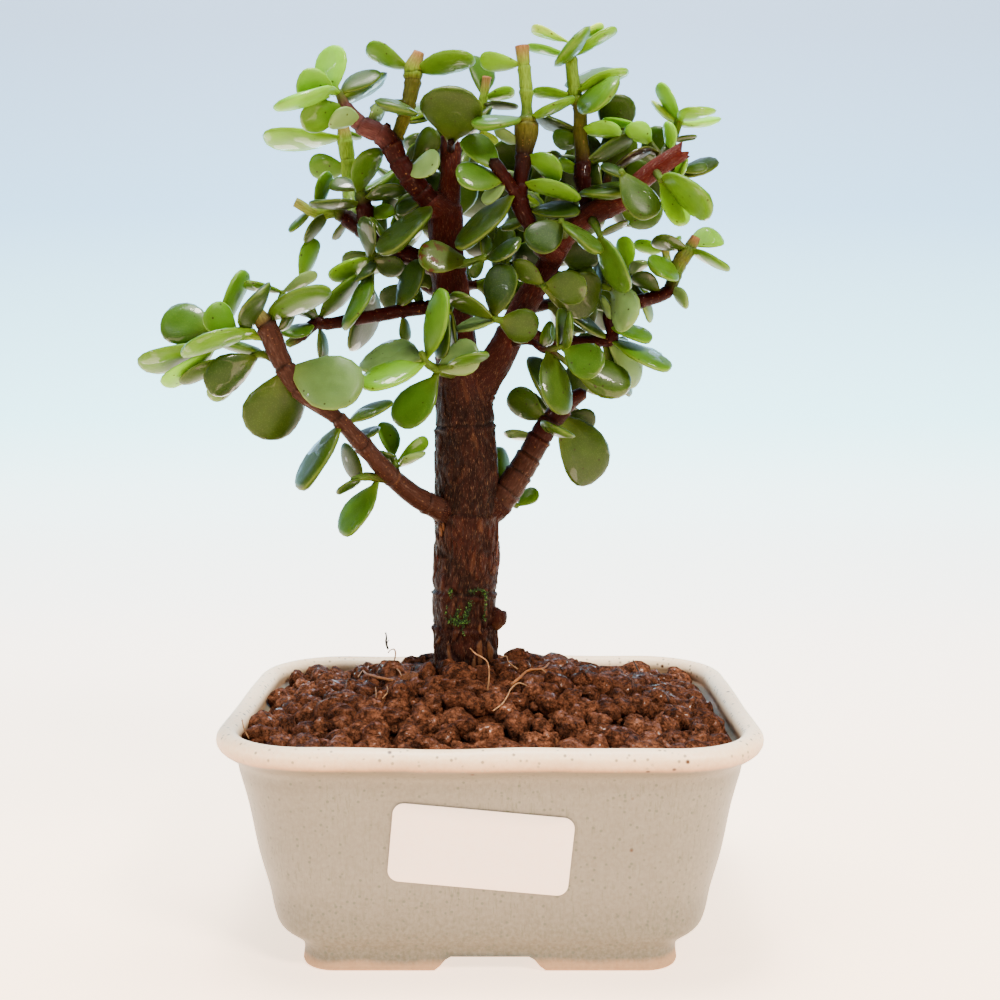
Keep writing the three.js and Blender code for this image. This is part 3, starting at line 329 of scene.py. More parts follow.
# The glaze has run: fine grey-green streaks 0.4 mm wide and 3 mm long, thick in some bands.
run = add(tree, "Mapping", {"Vector": place, "Scale": (1.0, 1.0, 0.14)})
trickle = add(tree, "TexNoise", {"Vector": run, "Scale": 1500.0, "Detail": 3.0, "Roughness": 0.7})
trickle_on = add(tree, "MapRange", {0: trickle, 1: 0.52, 2: 0.66, 4: 0.6})
band = add(tree, "MapRange", {0: cloud, 1: 0.4, 2: 0.62, 3: 0.25, 4: 1.0})
trickle_share = add(tree, "Math", {0: trickle_on, 1: band}, operation="MULTIPLY")
body = add(tree, "Mix", {0: trickle_share, 6: mottled, 7: "#545845"})
# Specks: one in three cells of 1.6 mm holds a grey-blue dot.
speck = add(tree, "TexVoronoi", {"Vector": place, "Scale": 620.0})
speck_kind = add(tree, "SeparateXYZ", {0: speck.outputs["Color"]})
speck_some = add(tree, "MapRange", {0: speck_kind, 1: 0.62, 2: 0.66})
speck_dot = add(tree, "MapRange", {0: speck.outputs["Distance"], 1: 0.34, 2: 0.16})
speck_on = add(tree, "Math", {0: speck_some, 1: speck_dot}, operation="MULTIPLY")
speck_soft = add(tree, "Math", {0: speck_on, 1: 0.7}, operation="MULTIPLY")
specked = add(tree, "Mix", {0: speck_soft, 6: body, 7: "#4b5244"})
# The lip: the glaze has run thin over the clay, tan on its underside and cream on its crown.
waver = add(tree, "Math", {0: cloud, 1: 0.002, 2: -0.001}, operation="MULTIPLY_ADD")
thin = add(tree, "Math", {0: height, 1: waver}, operation="ADD")
within = add(tree, "Attribute", attribute_name="within").outputs["Fac"]
# Painted shadow: the wall from 53.5 to 56.8 mm up, just under the lip, is darkened toward a grey-brown.
painted_lip_shadow = add(tree, "MapRange", {0: thin, 1: 0.0535, 2: 0.0568, 4: 0.55})
wall_with_painted_lip_shadow = add(tree, "Mix", {0: painted_lip_shadow, 6: specked, 7: "#5b4f3e"})
edge_share = add(tree, "MapRange", {0: thin, 1: 0.0572, 2: 0.058})
crown_share = add(tree, "MapRange", {0: thin, 1: 0.0578, 2: 0.0612})
lip_share = add(tree, "Math", {0: edge_share, 1: within}, operation="MAXIMUM")
crown = add(tree, "Math", {0: crown_share, 1: within}, operation="MAXIMUM")
cream = add(tree, "Mix", {0: fine, 6: "#f6cd9e", 7: "#fff0d2"})
tan = add(tree, "Mix", {0: fine, 6: "#83654a", 7: "#b48c68"})
lip_tone = add(tree, "Mix", {0: crown, 6: tan, 7: cream})
lip_specked = add(tree, "Mix", {0: speck_on, 6: lip_tone, 7: "#a08f74"})
lipped = add(tree, "Mix", {0: lip_share, 6: wall_with_painted_lip_shadow, 7: lip_specked})
# Iron spots about 1 mm across, sparse, most of them on the lip.
iron = add(tree, "TexVoronoi", {"Vector": place, "Scale": 290.0})
iron_kind = add(tree, "SeparateXYZ", {0: iron.outputs["Color"]})
iron_least = add(tree, "MapRange", {0: lip_share, 3: 0.985, 4: 0.86})
iron_some = add(tree, "Math", {0: iron_kind, 1: iron_least}, operation="GREATER_THAN")
iron_dot = add(tree, "MapRange", {0: iron.outputs["Distance"], 1: 0.22, 2: 0.1})
iron_on = add(tree, "Math", {0: iron_some, 1: iron_dot}, operation="MULTIPLY")
spotted = add(tree, "Mix", {0: iron_on, 6: lipped, 7: "#4a2c1a"})
# The foot: bare clay below a line that wanders between 2 and 4 mm.
wander = add(tree, "Math", {0: cloud, 1: -0.004}, operation="MULTIPLY")
wipe = add(tree, "Math", {0: height, 1: wander}, operation="ADD")
bare = add(tree, "MapRange", {0: wipe, 1: 0.0016, 2: 0.0})
clay = add(tree, "Mix", {0: fine, 6: "#957354", 7: "#b19575"})
footed = add(tree, "Mix", {0: bare, 6: spotted, 7: clay})
matt = add(tree, "MapRange", {0: fine, 1: 0.2, 2: 0.8, 3: 0.38, 4: 0.52})
dry = add(tree, "Mix", {0: bare, 2: matt, 3: 0.85}, data_type="FLOAT")
grain = add(tree, "Bump", {"Height": fine, "Strength": 0.12, "Distance": 0.0004})
swell = add(tree, "Bump", {"Height": cloud, "Strength": 0.25, "Distance": 0.0012, "Normal": grain})
feed(shader, {"Base Color": footed, "Roughness": dry, "Normal": swell})


PAINTS = {1: ("FLOAT", "value"), 3: ("FLOAT_VECTOR", "vector"), 4: ("FLOAT_COLOR", "color")}


def put(name, points, blocks, finish, slot, nodes=(), **paint):
    """Puts a piece of the object in its place, in millimetres; paint holds a value for each point."""
    made = sheet_of(in_frame(points), blocks, name, finish)
    for title, values in paint.items():
        values = np.asarray(values, float).reshape(len(made.data.vertices), -1)
        kind, word = PAINTS[values.shape[1]]
        made.data.attributes.new(title, kind, "POINT").data.foreach_set(word, values.ravel())
    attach(made, "root")
    if nodes:
        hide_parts(*nodes)


# The rows past the lip's crown are the inside of the pot.
CROWN_SHARE = 0.62
rows, columns = skin.shape[:2]
within = np.repeat(np.arange(rows) > CROWN_SHARE * rows, columns)
put(
    "glazed_pot", skin, [net(rows, columns, loop=True)], glazed_stoneware, "glazed_stoneware",
    ["pot"], within=within,
)


# ------------------------------------------------------------------ drain net
# A square of moulded polyethylene net lies over the drain hole, under the soil. Its shape is the
# solid's own, and only its finish is set here.

net_plastic, tree, shader, place = new_finish("moulded_polyethylene")
# Polyethylene: waxy black with a faint dusty bloom and a fine moulded grain.
dust = add(tree, "TexNoise", {"Vector": place, "Scale": 250.0, "Detail": 4.0})
black = add(tree, "Mix", {0: dust, 6: "#17181a", 7: "#3a3733"})
moulded = add(tree, "Bump", {"Height": dust, "Strength": 0.2, "Distance": 0.0002})
feed(shader, {"Base Color": black, "Roughness": 0.5, "Normal": moulded})
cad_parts["drain_net"].material_slots[0].material = net_plastic


# ------------------------------------------------------------------ soil
# Loose fired-clay and lava granules of 3 to 8 mm, damp and red-brown, heaped up round the
# trunk over a bed of the same.

HEAP_TOP, HEAP_FOOT, HEAP_WIDTH, HEAP_DEPTH = 72.5, 58.6, 62, 48


def mound(x, y):
    """Height of the heap: its top at the trunk, falling with the 1.5th power of the way out."""
    out = np.minimum(1, np.hypot(x / HEAP_WIDTH, y / HEAP_DEPTH))
    return HEAP_TOP + (HEAP_FOOT - HEAP_TOP) * out**1.5


def fraction(angle):
    """Repeatable draw from 0 to 1: what follows the point in a large multiple of an angle's sine."""
    wave = np.sin(angle) * 43758.5453
    return wave - np.floor(wave)


def ripple(at, seed=0):
    """Value noise from 0 to 1: a draw at each whole place, eased by 3t^2 - 2t^3 between them."""
    cell = np.floor(at)
    ease = (at - cell) ** 2 * (3 - 2 * (at - cell))
    total = 0
    for corner in np.ndindex(2, 2, 2):
        weight = np.where(np.array(corner) == 1, ease, 1 - ease).prod(-1)
        total = total + weight * fraction((cell + corner) @ [12.9898, 78.233, 37.719] + seed)
    return total


def caps(rows, columns, first, last, start=0):
    """Three-cornered faces that close a grid, from its first row to one point and its last to another."""
    j = np.arange(columns)
    near, far = start + j, start + (j + 1) % columns
    step = (rows - 1) * columns
    return [
        np.stack([np.full_like(j, first), far, near], -1),
        np.stack([np.full_like(j, last), step + near, step + far], -1),
    ]


def ball(rows, columns):
    """Directions of a globe's points, pole to pole, with its faces."""
    rise = (np.arange(1, rows) / rows * np.pi)[:, None]
    turn = (np.arange(columns) / columns * 2 * np.pi)[None, :]
    x, y = np.sin(rise) * np.cos(turn), np.sin(rise) * np.sin(turn)
    belt = np.stack(np.broadcast_arrays(x, y, -np.cos(rise)), -1)
    points = np.concatenate([[[0, 0, -1.0]], belt.reshape(-1, 3), [[0, 0, 1.0]]])
    faces = caps(rows - 1, columns, 0, len(points) - 1, start=1)
    return points, [net(rows - 1, columns, start=1), *faces]


def copies(blocks, count, size):
    """The faces of one shape repeated for so many copies of so many points each."""
    step = np.arange(count)[:, None, None] * size
    return [(block[None] + step).reshape(-1, block.shape[1]) for block in blocks]


rng = np.random.default_rng(7)
_, RIM_WIDTH, RIM_DEPTH, RIM_CORNER = INNER_WALL[0]
BOLE_SPOT, BOLE_GIRTH = [-6.9, 6], 9.2


def scatter(step, least, most, sink, stray):
    """Spots on a slanted lattice, strayed at random, with a radius each, kept inside the pot's wall
    and off the foot of the bole."""
    i, j = np.meshgrid(np.arange(-40, 41), np.arange(-40, 41), indexing="ij")
    spots = np.stack([(i + j / 2) * step, j * step * 0.866], -1).reshape(-1, 2)
    spots += rng.uniform(-stray, stray, spots.shape) * step
    radius = rng.uniform(least, most, len(spots))
    past = np.maximum(np.abs(spots) - [RIM_WIDTH - RIM_CORNER, RIM_DEPTH - RIM_CORNER], 0)
    inside = np.linalg.norm(past, axis=1) + radius * 0.72 < RIM_CORNER
    keep = inside & (np.linalg.norm((spots - BOLE_SPOT) / BOLE_GIRTH, axis=1) > 1)
    spots, radius = spots[keep], radius[keep]
    z = mound(spots[:, 0], spots[:, 1]) - sink * radius + rng.uniform(-0.7, 0.7, len(radius))
    return np.column_stack([spots, z]), radius


def crushed(directions, count):
    """Broken stone: in each direction the nearest of eleven random planes, softened and pitted."""
    facing = rng.normal(size=(count, 11, 3))
    facing /= np.linalg.norm(facing, axis=2, keepdims=True)
    away = rng.uniform(0.66, 0.98, (count, 1, 11))
    toward = np.maximum(np.einsum("md,nkd->nmk", directions, facing), 0.12)
    radius = np.minimum((away / toward).min(2), 1.2)
    pits = ripple(directions[None] * 2.6 + np.arange(count)[:, None, None] * 7.7, 3)
    return radius * (0.8 + 0.4 * pits)


globe, globe_faces = ball(7, 11)
places, radii = (np.concatenate(pair) for pair in zip(
    scatter(7.0, 3.3, 5.0, 0.1, 0.34),
    scatter(4.9, 1.2, 2.4, 0.5, 0.45),
))
count = len(radii)
stretch = rng.uniform(0.8, 1.2, (count, 1, 3)) * [1, 1, 0.88]
stones = globe[None] * crushed(globe, count)[..., None] * stretch * radii[:, None, None]
stones += places[:, None]
stone_tone = np.repeat(rng.uniform(0, 1, count), len(globe))

damp_granule, tree, shader, place = new_finish("damp_fired_clay")
# Fired clay and lava, damp: red-brown with a crumbly broken skin and small wet glints. Pits of
# about 2 mm, and crumbs of 0.9 mm. A noise over the pits swings the brightness from 0.28 to 1.75
# times, partly damp mottling and partly painted light and shade on the lumps. The crumbs are
# darkened toward their edges as painted shade in their creases.
kind = add(tree, "Attribute", attribute_name="kind").outputs["Fac"]
pit = add(tree, "TexNoise", {"Vector": place, "Scale": 480.0, "Detail": 6.0, "Roughness": 0.7})
crumb = add(tree, "TexVoronoi", {"Vector": place, "Scale": 1100.0})
red = add(tree, "Mix", {0: kind, 6: "#583220", 7: "#7c4c34"})
# Painted light and shade: the brightness swung by the pit noise, partly damp mottling, and painted shade
# in the creases between crumbs.
wet = add(tree, "MapRange", {0: pit, 1: 0.4, 2: 0.62, 3: 0.28, 4: 1.75})
painted_crease_shade = add(tree, "MapRange", {0: crumb.outputs["Distance"], 1: 0.3, 2: 0.7, 3: 1.05, 4: 0.72})
dark = add(tree, "Math", {0: wet, 1: painted_crease_shade}, operation="MULTIPLY")
damp_and_painted_shade = add(tree, "VectorMath", {0: red, 1: dark}, operation="MULTIPLY")
pale = add(tree, "Math", {0: kind, 1: 0.992}, operation="GREATER_THAN")
pumice = add(tree, "Mix", {0: pale, 6: damp_and_painted_shade, 7: "#805236"})
gloss = add(tree, "MapRange", {0: pit, 1: 0.3, 2: 0.7, 3: 0.35, 4: 0.8})
bead = add(tree, "MapRange", {0: pit, 1: 0.56, 2: 0.6, 4: 0.8})
rough = add(tree, "Bump", {"Height": pit, "Strength": 1.0, "Distance": 0.0028})
crumbly = {"Height": crumb.outputs["Distance"], "Strength": 0.8, "Distance": 0.0008}
rougher = add(tree, "Bump", {**crumbly, "Normal": rough})
feed(shader, {
    "Base Color": pumice, "Roughness": gloss, "Specular IOR Level": 0.03, "Coat Weight": bead,
    "Coat Roughness": 0.22, "Coat IOR": 1.33, "Normal": rougher,
})

put(
    "soil_granules", stones, copies(globe_faces, count, len(globe)), damp_granule,
    "soil_granules", ["soil"], kind=stone_tone,
)

# The bed follows the inside of the pot and the heap, part of a granule's depth lower.
BED_DEPTH, BED_TONE = 2.4, 0.05
bed_rows = oblong(np.array(INNER_WALL[::-1]) - [0, 0.3, 0.3, 0.3])
inset = np.linspace(1, 0.06, 26)[:, None, None]
top = bed_rows[-1] * [1, 1, 0] * inset
sunk = BED_DEPTH * np.minimum(1, (1 - inset[..., 0]) * 12 + 0.4)
top[..., 2] = mound(top[..., 0], top[..., 1]) - sunk
bed = np.concatenate([bed_rows, top])
rows, columns = bed.shape[:2]
below, above = [0, 0, FLOOR_HIGH], [0, 0, mound(0, 0) - BED_DEPTH]
points = np.concatenate([bed.reshape(-1, 3), [below, above]])
faces = [net(rows, columns), *caps(rows, columns, rows * columns, rows * columns + 1)]
put(
    "soil_bed", points, faces, damp_granule, "soil_granules", ["soil"],
    kind=np.full(len(points), BED_TONE),
)


# ------------------------------------------------------------------ trunk
# A stout bole that forks into a pruned leader and one right limb. The bark is wet, dark
# red-brown and splits lengthwise into thin flakes, with a ring where each old leaf pair sat.

# Marks of a limb: u and v on the board, depth in mm, width on the board.
BOLE = [
    [466, 735, 6, 63], [466, 665, 6, 64], [465, 610, 6, 62], [467, 520, 6, 66], [466, 440, 6, 62],
    [463, 405, 6, 56], [459, 372, 6, 46], [452, 300, 6, 37], [446, 245, 6, 34], [446, 212, 6, 33],
    [447, 200, 6, 27], [449, 190, 6, 23], [451, 140, 6, 21],
]
RIGHT_LIMB = [
    [468, 425, 6, 35], [479, 388, 6, 37], [497, 360, 5, 32], [525, 305, 2, 26], [550, 262, -1, 22],
    [572, 228, -4, 23], [590, 215, -5, 23], [625, 198, -7, 21], [642, 180, -9, 20],
    [684, 150, -12, 17],
]


def limb(marks, spacing, sides):
    """Smooth path through marks at even spacing: its middles, its radii, the run to each and to
    each mark, the way along, the ways around, and the turn of each side."""
    marks = np.asarray(marks, float)
    middles = board(marks[:, 0], marks[:, 1], marks[:, 2])
    radii = marks[:, 3] * unit(marks[:, 2]) / 2
    knots = run_of(middles)
    runs = np.linspace(0, knots[-1], max(4, int(knots[-1] / spacing)))
    path = through(knots, np.column_stack([middles, radii]), runs)
    along = np.gradient(path[:, :3], runs, axis=0)
    along /= np.linalg.norm(along, axis=1, keepdims=True)
    upright = np.eye(3)[np.abs(along).max(0).argmin()]
    out = upright - along * (along @ upright)[:, None]
    out /= np.linalg.norm(out, axis=1, keepdims=True)
    turn = np.arange(sides) / sides * 2 * np.pi
    beside = np.cross(along, out)[:, None]
    around = out[:, None] * np.cos(turn)[:, None] + beside * np.sin(turn)[:, None]
    return path[:, :3], path[:, 3], runs, knots, along, around, turn


def grain_of(radii, runs, turn):
    """Place on the bark as if the limb were straight: round its girth, and along its run."""
    girth = radii[:, None] * np.ones_like(turn)
    return np.stack([girth * np.cos(turn), girth * np.sin(turn), runs[:, None] * np.ones_like(turn)], -1)


def closed(rings, along, dome):
    """Rings with a point at each end, the last one domed by a share of its radius, and all faces."""
    rows, columns = rings.shape[:2]
    first, last = rings[0].mean(0), rings[-1].mean(0)
    tall = np.linalg.norm(rings[-1] - last, axis=1).mean() * dome
    points = np.concatenate([rings.reshape(-1, 3), [first, last + along[-1] * tall]])
    return points, [net(rows, columns), *caps(rows, columns, rows * columns, rows * columns + 1)]


def with_ends(paint, first=None, last=None):
    """A value for each point of closed rings, then one for either end: if not given, its ring's."""
    first = paint[0, 0] if first is None else first
    last = paint[-1, 0] if last is None else last
    return np.concatenate([paint.reshape(-1, *paint.shape[2:]), [first, last]])


PLATE_SEEDS = np.array([[127.1, 269.5, 113.5], [311.7, 183.3, 271.9], [74.7, 246.1, 124.6]])


def plates(at):
    """Cracked skin: each place belongs to the nearest of the strayed middles of its cells.

    Gives how near a crack is, from 0 on it to 1 well inside a plate, and a draw for the plate.
    """
    cell = np.floor(at)
    first = np.full(at.shape[:-1], 9.0)
    second, owner = first.copy(), first.copy()
    for step in np.ndindex(3, 3, 3):
        corner = cell + step - 1
        stray = fraction(corner @ PLATE_SEEDS)
        away = np.linalg.norm(corner + stray - at, axis=-1)
        nearer = away < first
        second = np.where(nearer, first, np.minimum(second, away))
        owner = np.where(nearer, stray[..., 0], owner)
        first = np.where(nearer, away, first)
    return np.clip((second - first) / 0.22, 0, 1), owner


def bark(middles, radii, runs, turn, rings):
    """Relief of the bark: flakes 2.4 mm wide and 7 mm long that stand off unevenly between splits,
    finer splits 0.7 mm wide, broad lumps, and a ring cut where each old leaf pair sat. It fades
    to less than a third from 142 to 170 mm up, where the wood is young, and is deeper on
    the oldest bark, below 84 mm."""
    grain = grain_of(radii, runs, turn)
    age = np.clip((182 - middles[:, 2:]) / 40, 0.3, 1) + np.clip((85 - middles[:, 2:]) / 2, 0, 0.5)
    bent = grain + 2.2 * (ripple(grain / [4, 4, 7], 3)[..., None] - 0.5)
    flat, owner = plates(bent / [2.4, 2.4, 7.0])
    splits = 1 - np.abs(2 * ripple(bent / [0.7, 0.7, 2.8], 5) - 1)
    lumps = ripple(grain / [6, 6, 9], 9) - 0.5
    relief = 0.5 * (flat - 0.7) + 0.5 * (owner - 0.5) * flat + 0.34 * (splits - 0.6) + 1.1 * lumps
    relief = relief * age
    wander = 1.1 * (ripple(grain / [4, 4, 400], 2) - 0.5)
    for ring in rings:
        off = runs[:, None] - ring + wander
        relief = relief - 0.5 * np.exp(-((off / 0.42) ** 2))
        relief = relief + 0.45 * np.exp(-(((off + 1.0) / 0.7) ** 2))
    return relief * np.minimum(1, radii[:, None] / 8), grain, owner * flat


# Each wood: its sides, how red the skin is at its cut end, and the v of each ring.
wood = []
for marks, sides, redness, ring_marks in [
    (BOLE, 128, 0, [624, 590, 512, 425, 352, 268, 203]),
    (RIGHT_LIMB, 80, 4, [388, 330, 290, 240, 205]),
]:
    middles, radii, runs, knots, along, around, turn = limb(marks, 0.52, sides)
    ring_runs = np.interp(-np.array(ring_marks), -np.array(marks)[:, 1], knots)
    relief, grain, owner = bark(middles, radii, runs, turn, ring_runs)
    red = np.clip(runs / runs[-1] - 0.76, 0, 0.1)[:, None] * redness * np.ones(sides)
    jagged = (ripple(grain[-1] / [1.3, 1.3, 1.0], 4) - 0.5) * 3.2
    rings = middles[:, None] + around * (radii[:, None] + relief)[..., None]
    rings[-3:] += along[-1] * jagged[:, None] * np.array([0.3, 0.7, 1.0])[:, None, None]
    points, faces = closed(rings, along, -0.25)
    wood.append((
        points, faces, with_ends(relief, relief.min(), relief.min()), with_ends(grain),
        with_ends(red, 0, red.max()), with_ends(owner, 0.5, 0.5),
    ))


def joined(parts):
    """Several closed skins as one: points, blocks of faces, and their paints, run together."""
    starts = np.cumsum([0] + [len(part[0]) for part in parts[:-1]])
    blocks = [block + start for part, start in zip(parts, starts) for block in part[1]]
    return [np.concatenate([part[0] for part in parts]), blocks] + [
        np.concatenate([part[k] for part in parts]) for k in range(2, len(parts[0]))
    ]


# A healed knob on the right of the bole, where an old shoot was cut off.
knob_ball, knob_faces = ball(12, 18)
knob_size = (2.2 + 1.5 * ripple(knob_ball * 2.2, 8))[:, None]
knob = board(497.5, 618, 4.0) + knob_ball * knob_size * [0.9, 1, 1.15]
alike = np.ones(len(knob))
wood.append((knob, knob_faces, 0.1 * alike, knob_ball * 3, 0.06 * alike, 0.7 * alike))

# The bark climbs in a collar round the foot of each stout branch.
COLLARS = [
    [[458, 516, 4, 34], [450, 512.6, 2.3, 32], [443, 509.6, 0.8, 28], [436, 506.7, -0.7, 22.5]],
    [[474, 512, 6, 40], [486, 508, 6, 38], [495, 504, 6, 34], [503, 496, 6, 28.5]],
    [[455, 306, 5, 22], [444, 307, 3.5, 21], [436, 307.5, 2.5, 18], [430, 308, 1.7, 14.5]],
    [[449, 268, 6, 28], [438, 264.5, 5.4, 26], [430, 262, 5, 23], [424, 260.2, 5.3, 19]],
    [[449, 214, 6, 30], [438, 207, 4, 28], [430, 201.5, 2.8, 25], [426, 197, 2, 21.5]],
    [[512, 330, 4, 24], [522, 333, 6, 21], [530, 335.5, 7.4, 17], [536, 336.8, 8.2, 13.5]],
    [[558, 258, -2, 24], [548, 251, -3.6, 22], [541, 245.8, -4.8, 19], [537, 240, -5.2, 16]],
]
for marks in COLLARS:
    middles, radii, runs, knots, along, around, turn = limb(marks, 0.4, 44)
    relief, grain, owner = bark(middles, radii, runs, turn, knots[-1:] - 0.6)
    rings = middles[:, None] + around * (radii[:, None] + 1.3 * relief)[..., None]
    points, faces = closed(rings, along, 0.0)
    wood.append((
        points, faces, with_ends(relief, 0, 0), with_ends(grain),
        np.full(len(points), 0.04), with_ends(owner, 0.5, 0.5),
    ))


def on_bole(u, v):
    """Point of the bole's front behind the mark (u, v), and the way out of the bark there."""
    path = np.array(BOLE, float)
    middle = np.interp(-v, -path[:, 1], path[:, 0])
    girth = np.interp(-v, -path[:, 1], path[:, 3]) / 2
    aside = np.clip((u - middle) / girth, -0.98, 0.98)
    front = np.sqrt(1 - aside**2)
    out = np.stack([aside, -front, 0 * front], -1)
    return board(u, v, 6 - front * girth * unit(6)), out


# Flakes of bark that have lifted: u, v, half width and half height in mm, how fresh, from wine
# red at 0.5 to tan at 1.
FLAKES = np.array([
    [441, 533, 0.75, 2.4, 0.95], [443.5, 527, 0.5, 1.3, 0.9], [438, 541, 0.4, 1.2, 0.8],
    [496.5, 552, 0.7, 2.6, 0.62], [497, 566, 0.6, 1.9, 0.55], [497.5, 540, 0.5, 1.6, 0.7],
    [438, 560, 0.35, 1.6, 0.45],
])
at, out = on_bole(FLAKES[:, 0], FLAKES[:, 1])
flake_ball, flake_faces = ball(9, 10)
flat = np.stack([-out[:, 1], out[:, 0], 0 * out[:, 0]], -1)
ragged = (0.7 + 0.6 * ripple(flake_ball * 2.5, 4))[None, :, None]
wide = flake_ball[None, :, :1] * FLAKES[:, None, 2:3] * ragged
tall = flake_ball[None, :, 2:] * FLAKES[:, None, 3:4]
lifted = (0.25 * flake_ball[None, :, 1:2] + 0.12) * (1 + flake_ball[None, :, 2:])
flakes = at[:, None] + flat[:, None] * wide + out[:, None] * lifted + tall * np.array([0, 0, 1.0])
count = len(FLAKES)
grain = flake_ball[None] * [2, 2, 8] + np.arange(count)[:, None, None] * 5.3
alike = np.ones(count * len(flake_ball))
wood.append((
    flakes.reshape(-1, 3), copies(flake_faces, count, len(flake_ball)), 0.2 * alike,
    grain.reshape(-1, 3), np.repeat(FLAKES[:, 4], len(flake_ball)), 0.5 * alike,
))
points, faces, relief, grain, fresh, owner = joined(wood)

wet_bark, tree, shader, place = new_finish("wet_corky_bark")
# Corky bark, wet: near black in the splits, and darker wherever the relief sinks as painted shade,
# red-brown on the flakes, with thin tan streaks where a flake has lifted, and small glints along
# its edges. Streaks are 0.5 mm wide and 4 mm long.
grown = add(tree, "Attribute", attribute_name="grain").outputs["Vector"]
raised = add(tree, "Attribute", attribute_name="relief").outputs["Fac"]
length = add(tree, "Mapping", {"Vector": grown, "Scale": (1.0, 1.0, 0.12)})
streak = add(tree, "TexNoise", {"Vector": length, "Scale": 1.9, "Detail": 6.0, "Roughness": 0.68})
patch = add(tree, "TexNoise", {"Vector": place, "Scale": 110.0, "Detail": 3.0})
# Darker where the relief sinks: partly the bark's own dark splits, partly painted shade in the recesses of
# the flakes, splits, lumps and ring cuts.
depth = add(tree, "MapRange", {0: raised, 1: -0.45, 2: 0.3})
brown = add(tree, "Mix", {0: depth, 6: "#0d0503", 7: "#2b1009"})
rust = add(tree, "MapRange", {0: patch, 1: 0.5, 2: 0.72, 4: 0.6})
rusty = add(tree, "Mix", {0: rust, 6: brown, 7: "#38140a"})
lifted = add(tree, "MapRange", {0: streak, 1: 0.56, 2: 0.74, 4: 0.5})
flaked = add(tree, "Mix", {0: lifted, 6: rusty, 7: "#5c3620"})
split = add(tree, "MapRange", {0: streak, 1: 0.42, 2: 0.3, 4: 0.85})
# Each flake has its own tone, from wine brown to tan, tanner low down.
own = add(tree, "Attribute", attribute_name="owner").outputs["Fac"]
height = add(tree, "SeparateXYZ", {0: place}).outputs["Z"]
base = add(tree, "MapRange", {0: height, 1: 0.086, 2: 0.083})
tan_from = add(tree, "MapRange", {0: base, 3: 0.82, 4: 0.4})
over = add(tree, "Math", {0: own, 1: tan_from}, operation="SUBTRACT")
tan_share = add(tree, "MapRange", {0: over, 2: 0.3, 4: 0.75})
tan_flake = add(tree, "Mix", {0: tan_share, 6: flaked, 7: "#5a3a24"})
wine_share = add(tree, "MapRange", {0: own, 1: 0.32, 2: 0.12, 4: 0.6})
wine_flake = add(tree, "Mix", {0: wine_share, 6: tan_flake, 7: "#1c0604"})
cracked = add(tree, "Mix", {0: split, 6: wine_flake, 7: "#0a0402"})
# Partly a darker bark and partly painted shade from the crown above: the old bark is 1.1 times as bright
# below 112 mm and 0.6 times above 122 mm.
dark = add(tree, "MapRange", {0: height, 1: 0.112, 2: 0.122, 3: 1.1, 4: 0.6})
old = add(tree, "VectorMath", {0: cracked, 1: dark}, operation="MULTIPLY")
# Wine red and smoother above the fork, and red again where a limb was cut.
wine = add(tree, "Mix", {0: lifted, 6: "#330e09", 7: "#6e2c1a"})
young = add(tree, "MapRange", {0: height, 1: 0.146, 2: 0.176})
aged = add(tree, "Mix", {0: young, 6: old, 7: wine})
fresh_on = add(tree, "Attribute", attribute_name="fresh").outputs["Fac"]
reddened = add(tree, "MapRange", {0: fresh_on, 2: 0.5, 4: 0.85})
red = add(tree, "Mix", {0: reddened, 6: aged, 7: "#4a1008"})
tanned = add(tree, "MapRange", {0: fresh_on, 1: 0.5, 2: 1.0})
tan = add(tree, "Mix", {0: tanned, 6: red, 7: "#6b4628"})
# Painted highlights: short pale dashes along the grain, in the base colour, stand in for glints on the wet
# bark.
painted_glint = add(tree, "TexNoise", {"Vector": length, "Scale": 6.5, "Detail": 2.0})
painted_glint_share = add(tree, "MapRange", {0: painted_glint, 1: 0.62, 2: 0.68, 4: 0.5})
bark_tone = add(tree, "Mix", {0: painted_glint_share, 6: tan, 7: "#7e6048"})
sheen = add(tree, "MapRange", {0: streak, 1: 0.3, 2: 0.7, 3: 0.35, 4: 0.65})
beads = add(tree, "TexNoise", {"Vector": length, "Scale": 3.4, "Detail": 3.0})
film = add(tree, "MapRange", {0: beads, 1: 0.6, 2: 0.66, 4: 0.9})
fibre = add(tree, "Bump", {"Height": streak, "Strength": 0.9, "Distance": 0.0008})
feed(shader, {
    "Base Color": bark_tone, "Roughness": sheen, "Specular IOR Level": 0.08, "Coat Weight": film,
    "Coat Roughness": 0.16, "Coat IOR": 1.33, "Normal": fibre, "Coat Normal": fibre,
})

put(
    "trunk_bark", points, faces, wet_bark, "bark", ["trunk"],
    relief=relief, grain=grain, fresh=fresh, owner=owner,
)


# ------------------------------------------------------------------ moss
# Cushion moss on the wet bark over the lowest ring: short pointed leaves of about 1 mm, bright
# at their tips, thick in one patch and strung out along the bark's cracks.

# Strokes: u and v of both ends, spread, tufts.
MOSS = np.array([
    [472, 601, 465, 618, 2.4, 90], [452, 621, 468, 622, 3.4, 170], [460, 608, 456, 618, 2.0, 34],
    [470, 592, 478, 589.5, 0.7, 40], [478, 589.5, 485, 592, 0.7, 40], [485, 592, 484.5, 601, 0.9, 44],
    [484, 602, 483, 622, 1.0, 30], [451, 588, 452, 597, 1.4, 30], [462, 627, 464, 634, 1.0, 10],
    [448, 606, 447, 618, 0.8, 12],
])
shares = [rng.uniform(0, 1, int(row[5])) for row in MOSS]
spots = np.concatenate([
    row[:2] + (row[2:4] - row[:2]) * share[:, None] + rng.normal(0, row[4] / 2, (len(share), 2))
    for row, share in zip(MOSS, shares)
])
root, out = on_bole(spots[:, 0], spots[:, 1])
count = len(root)
pointing = out + rng.normal(0, 0.55, (count, 3)) + [0, 0, 0.25]
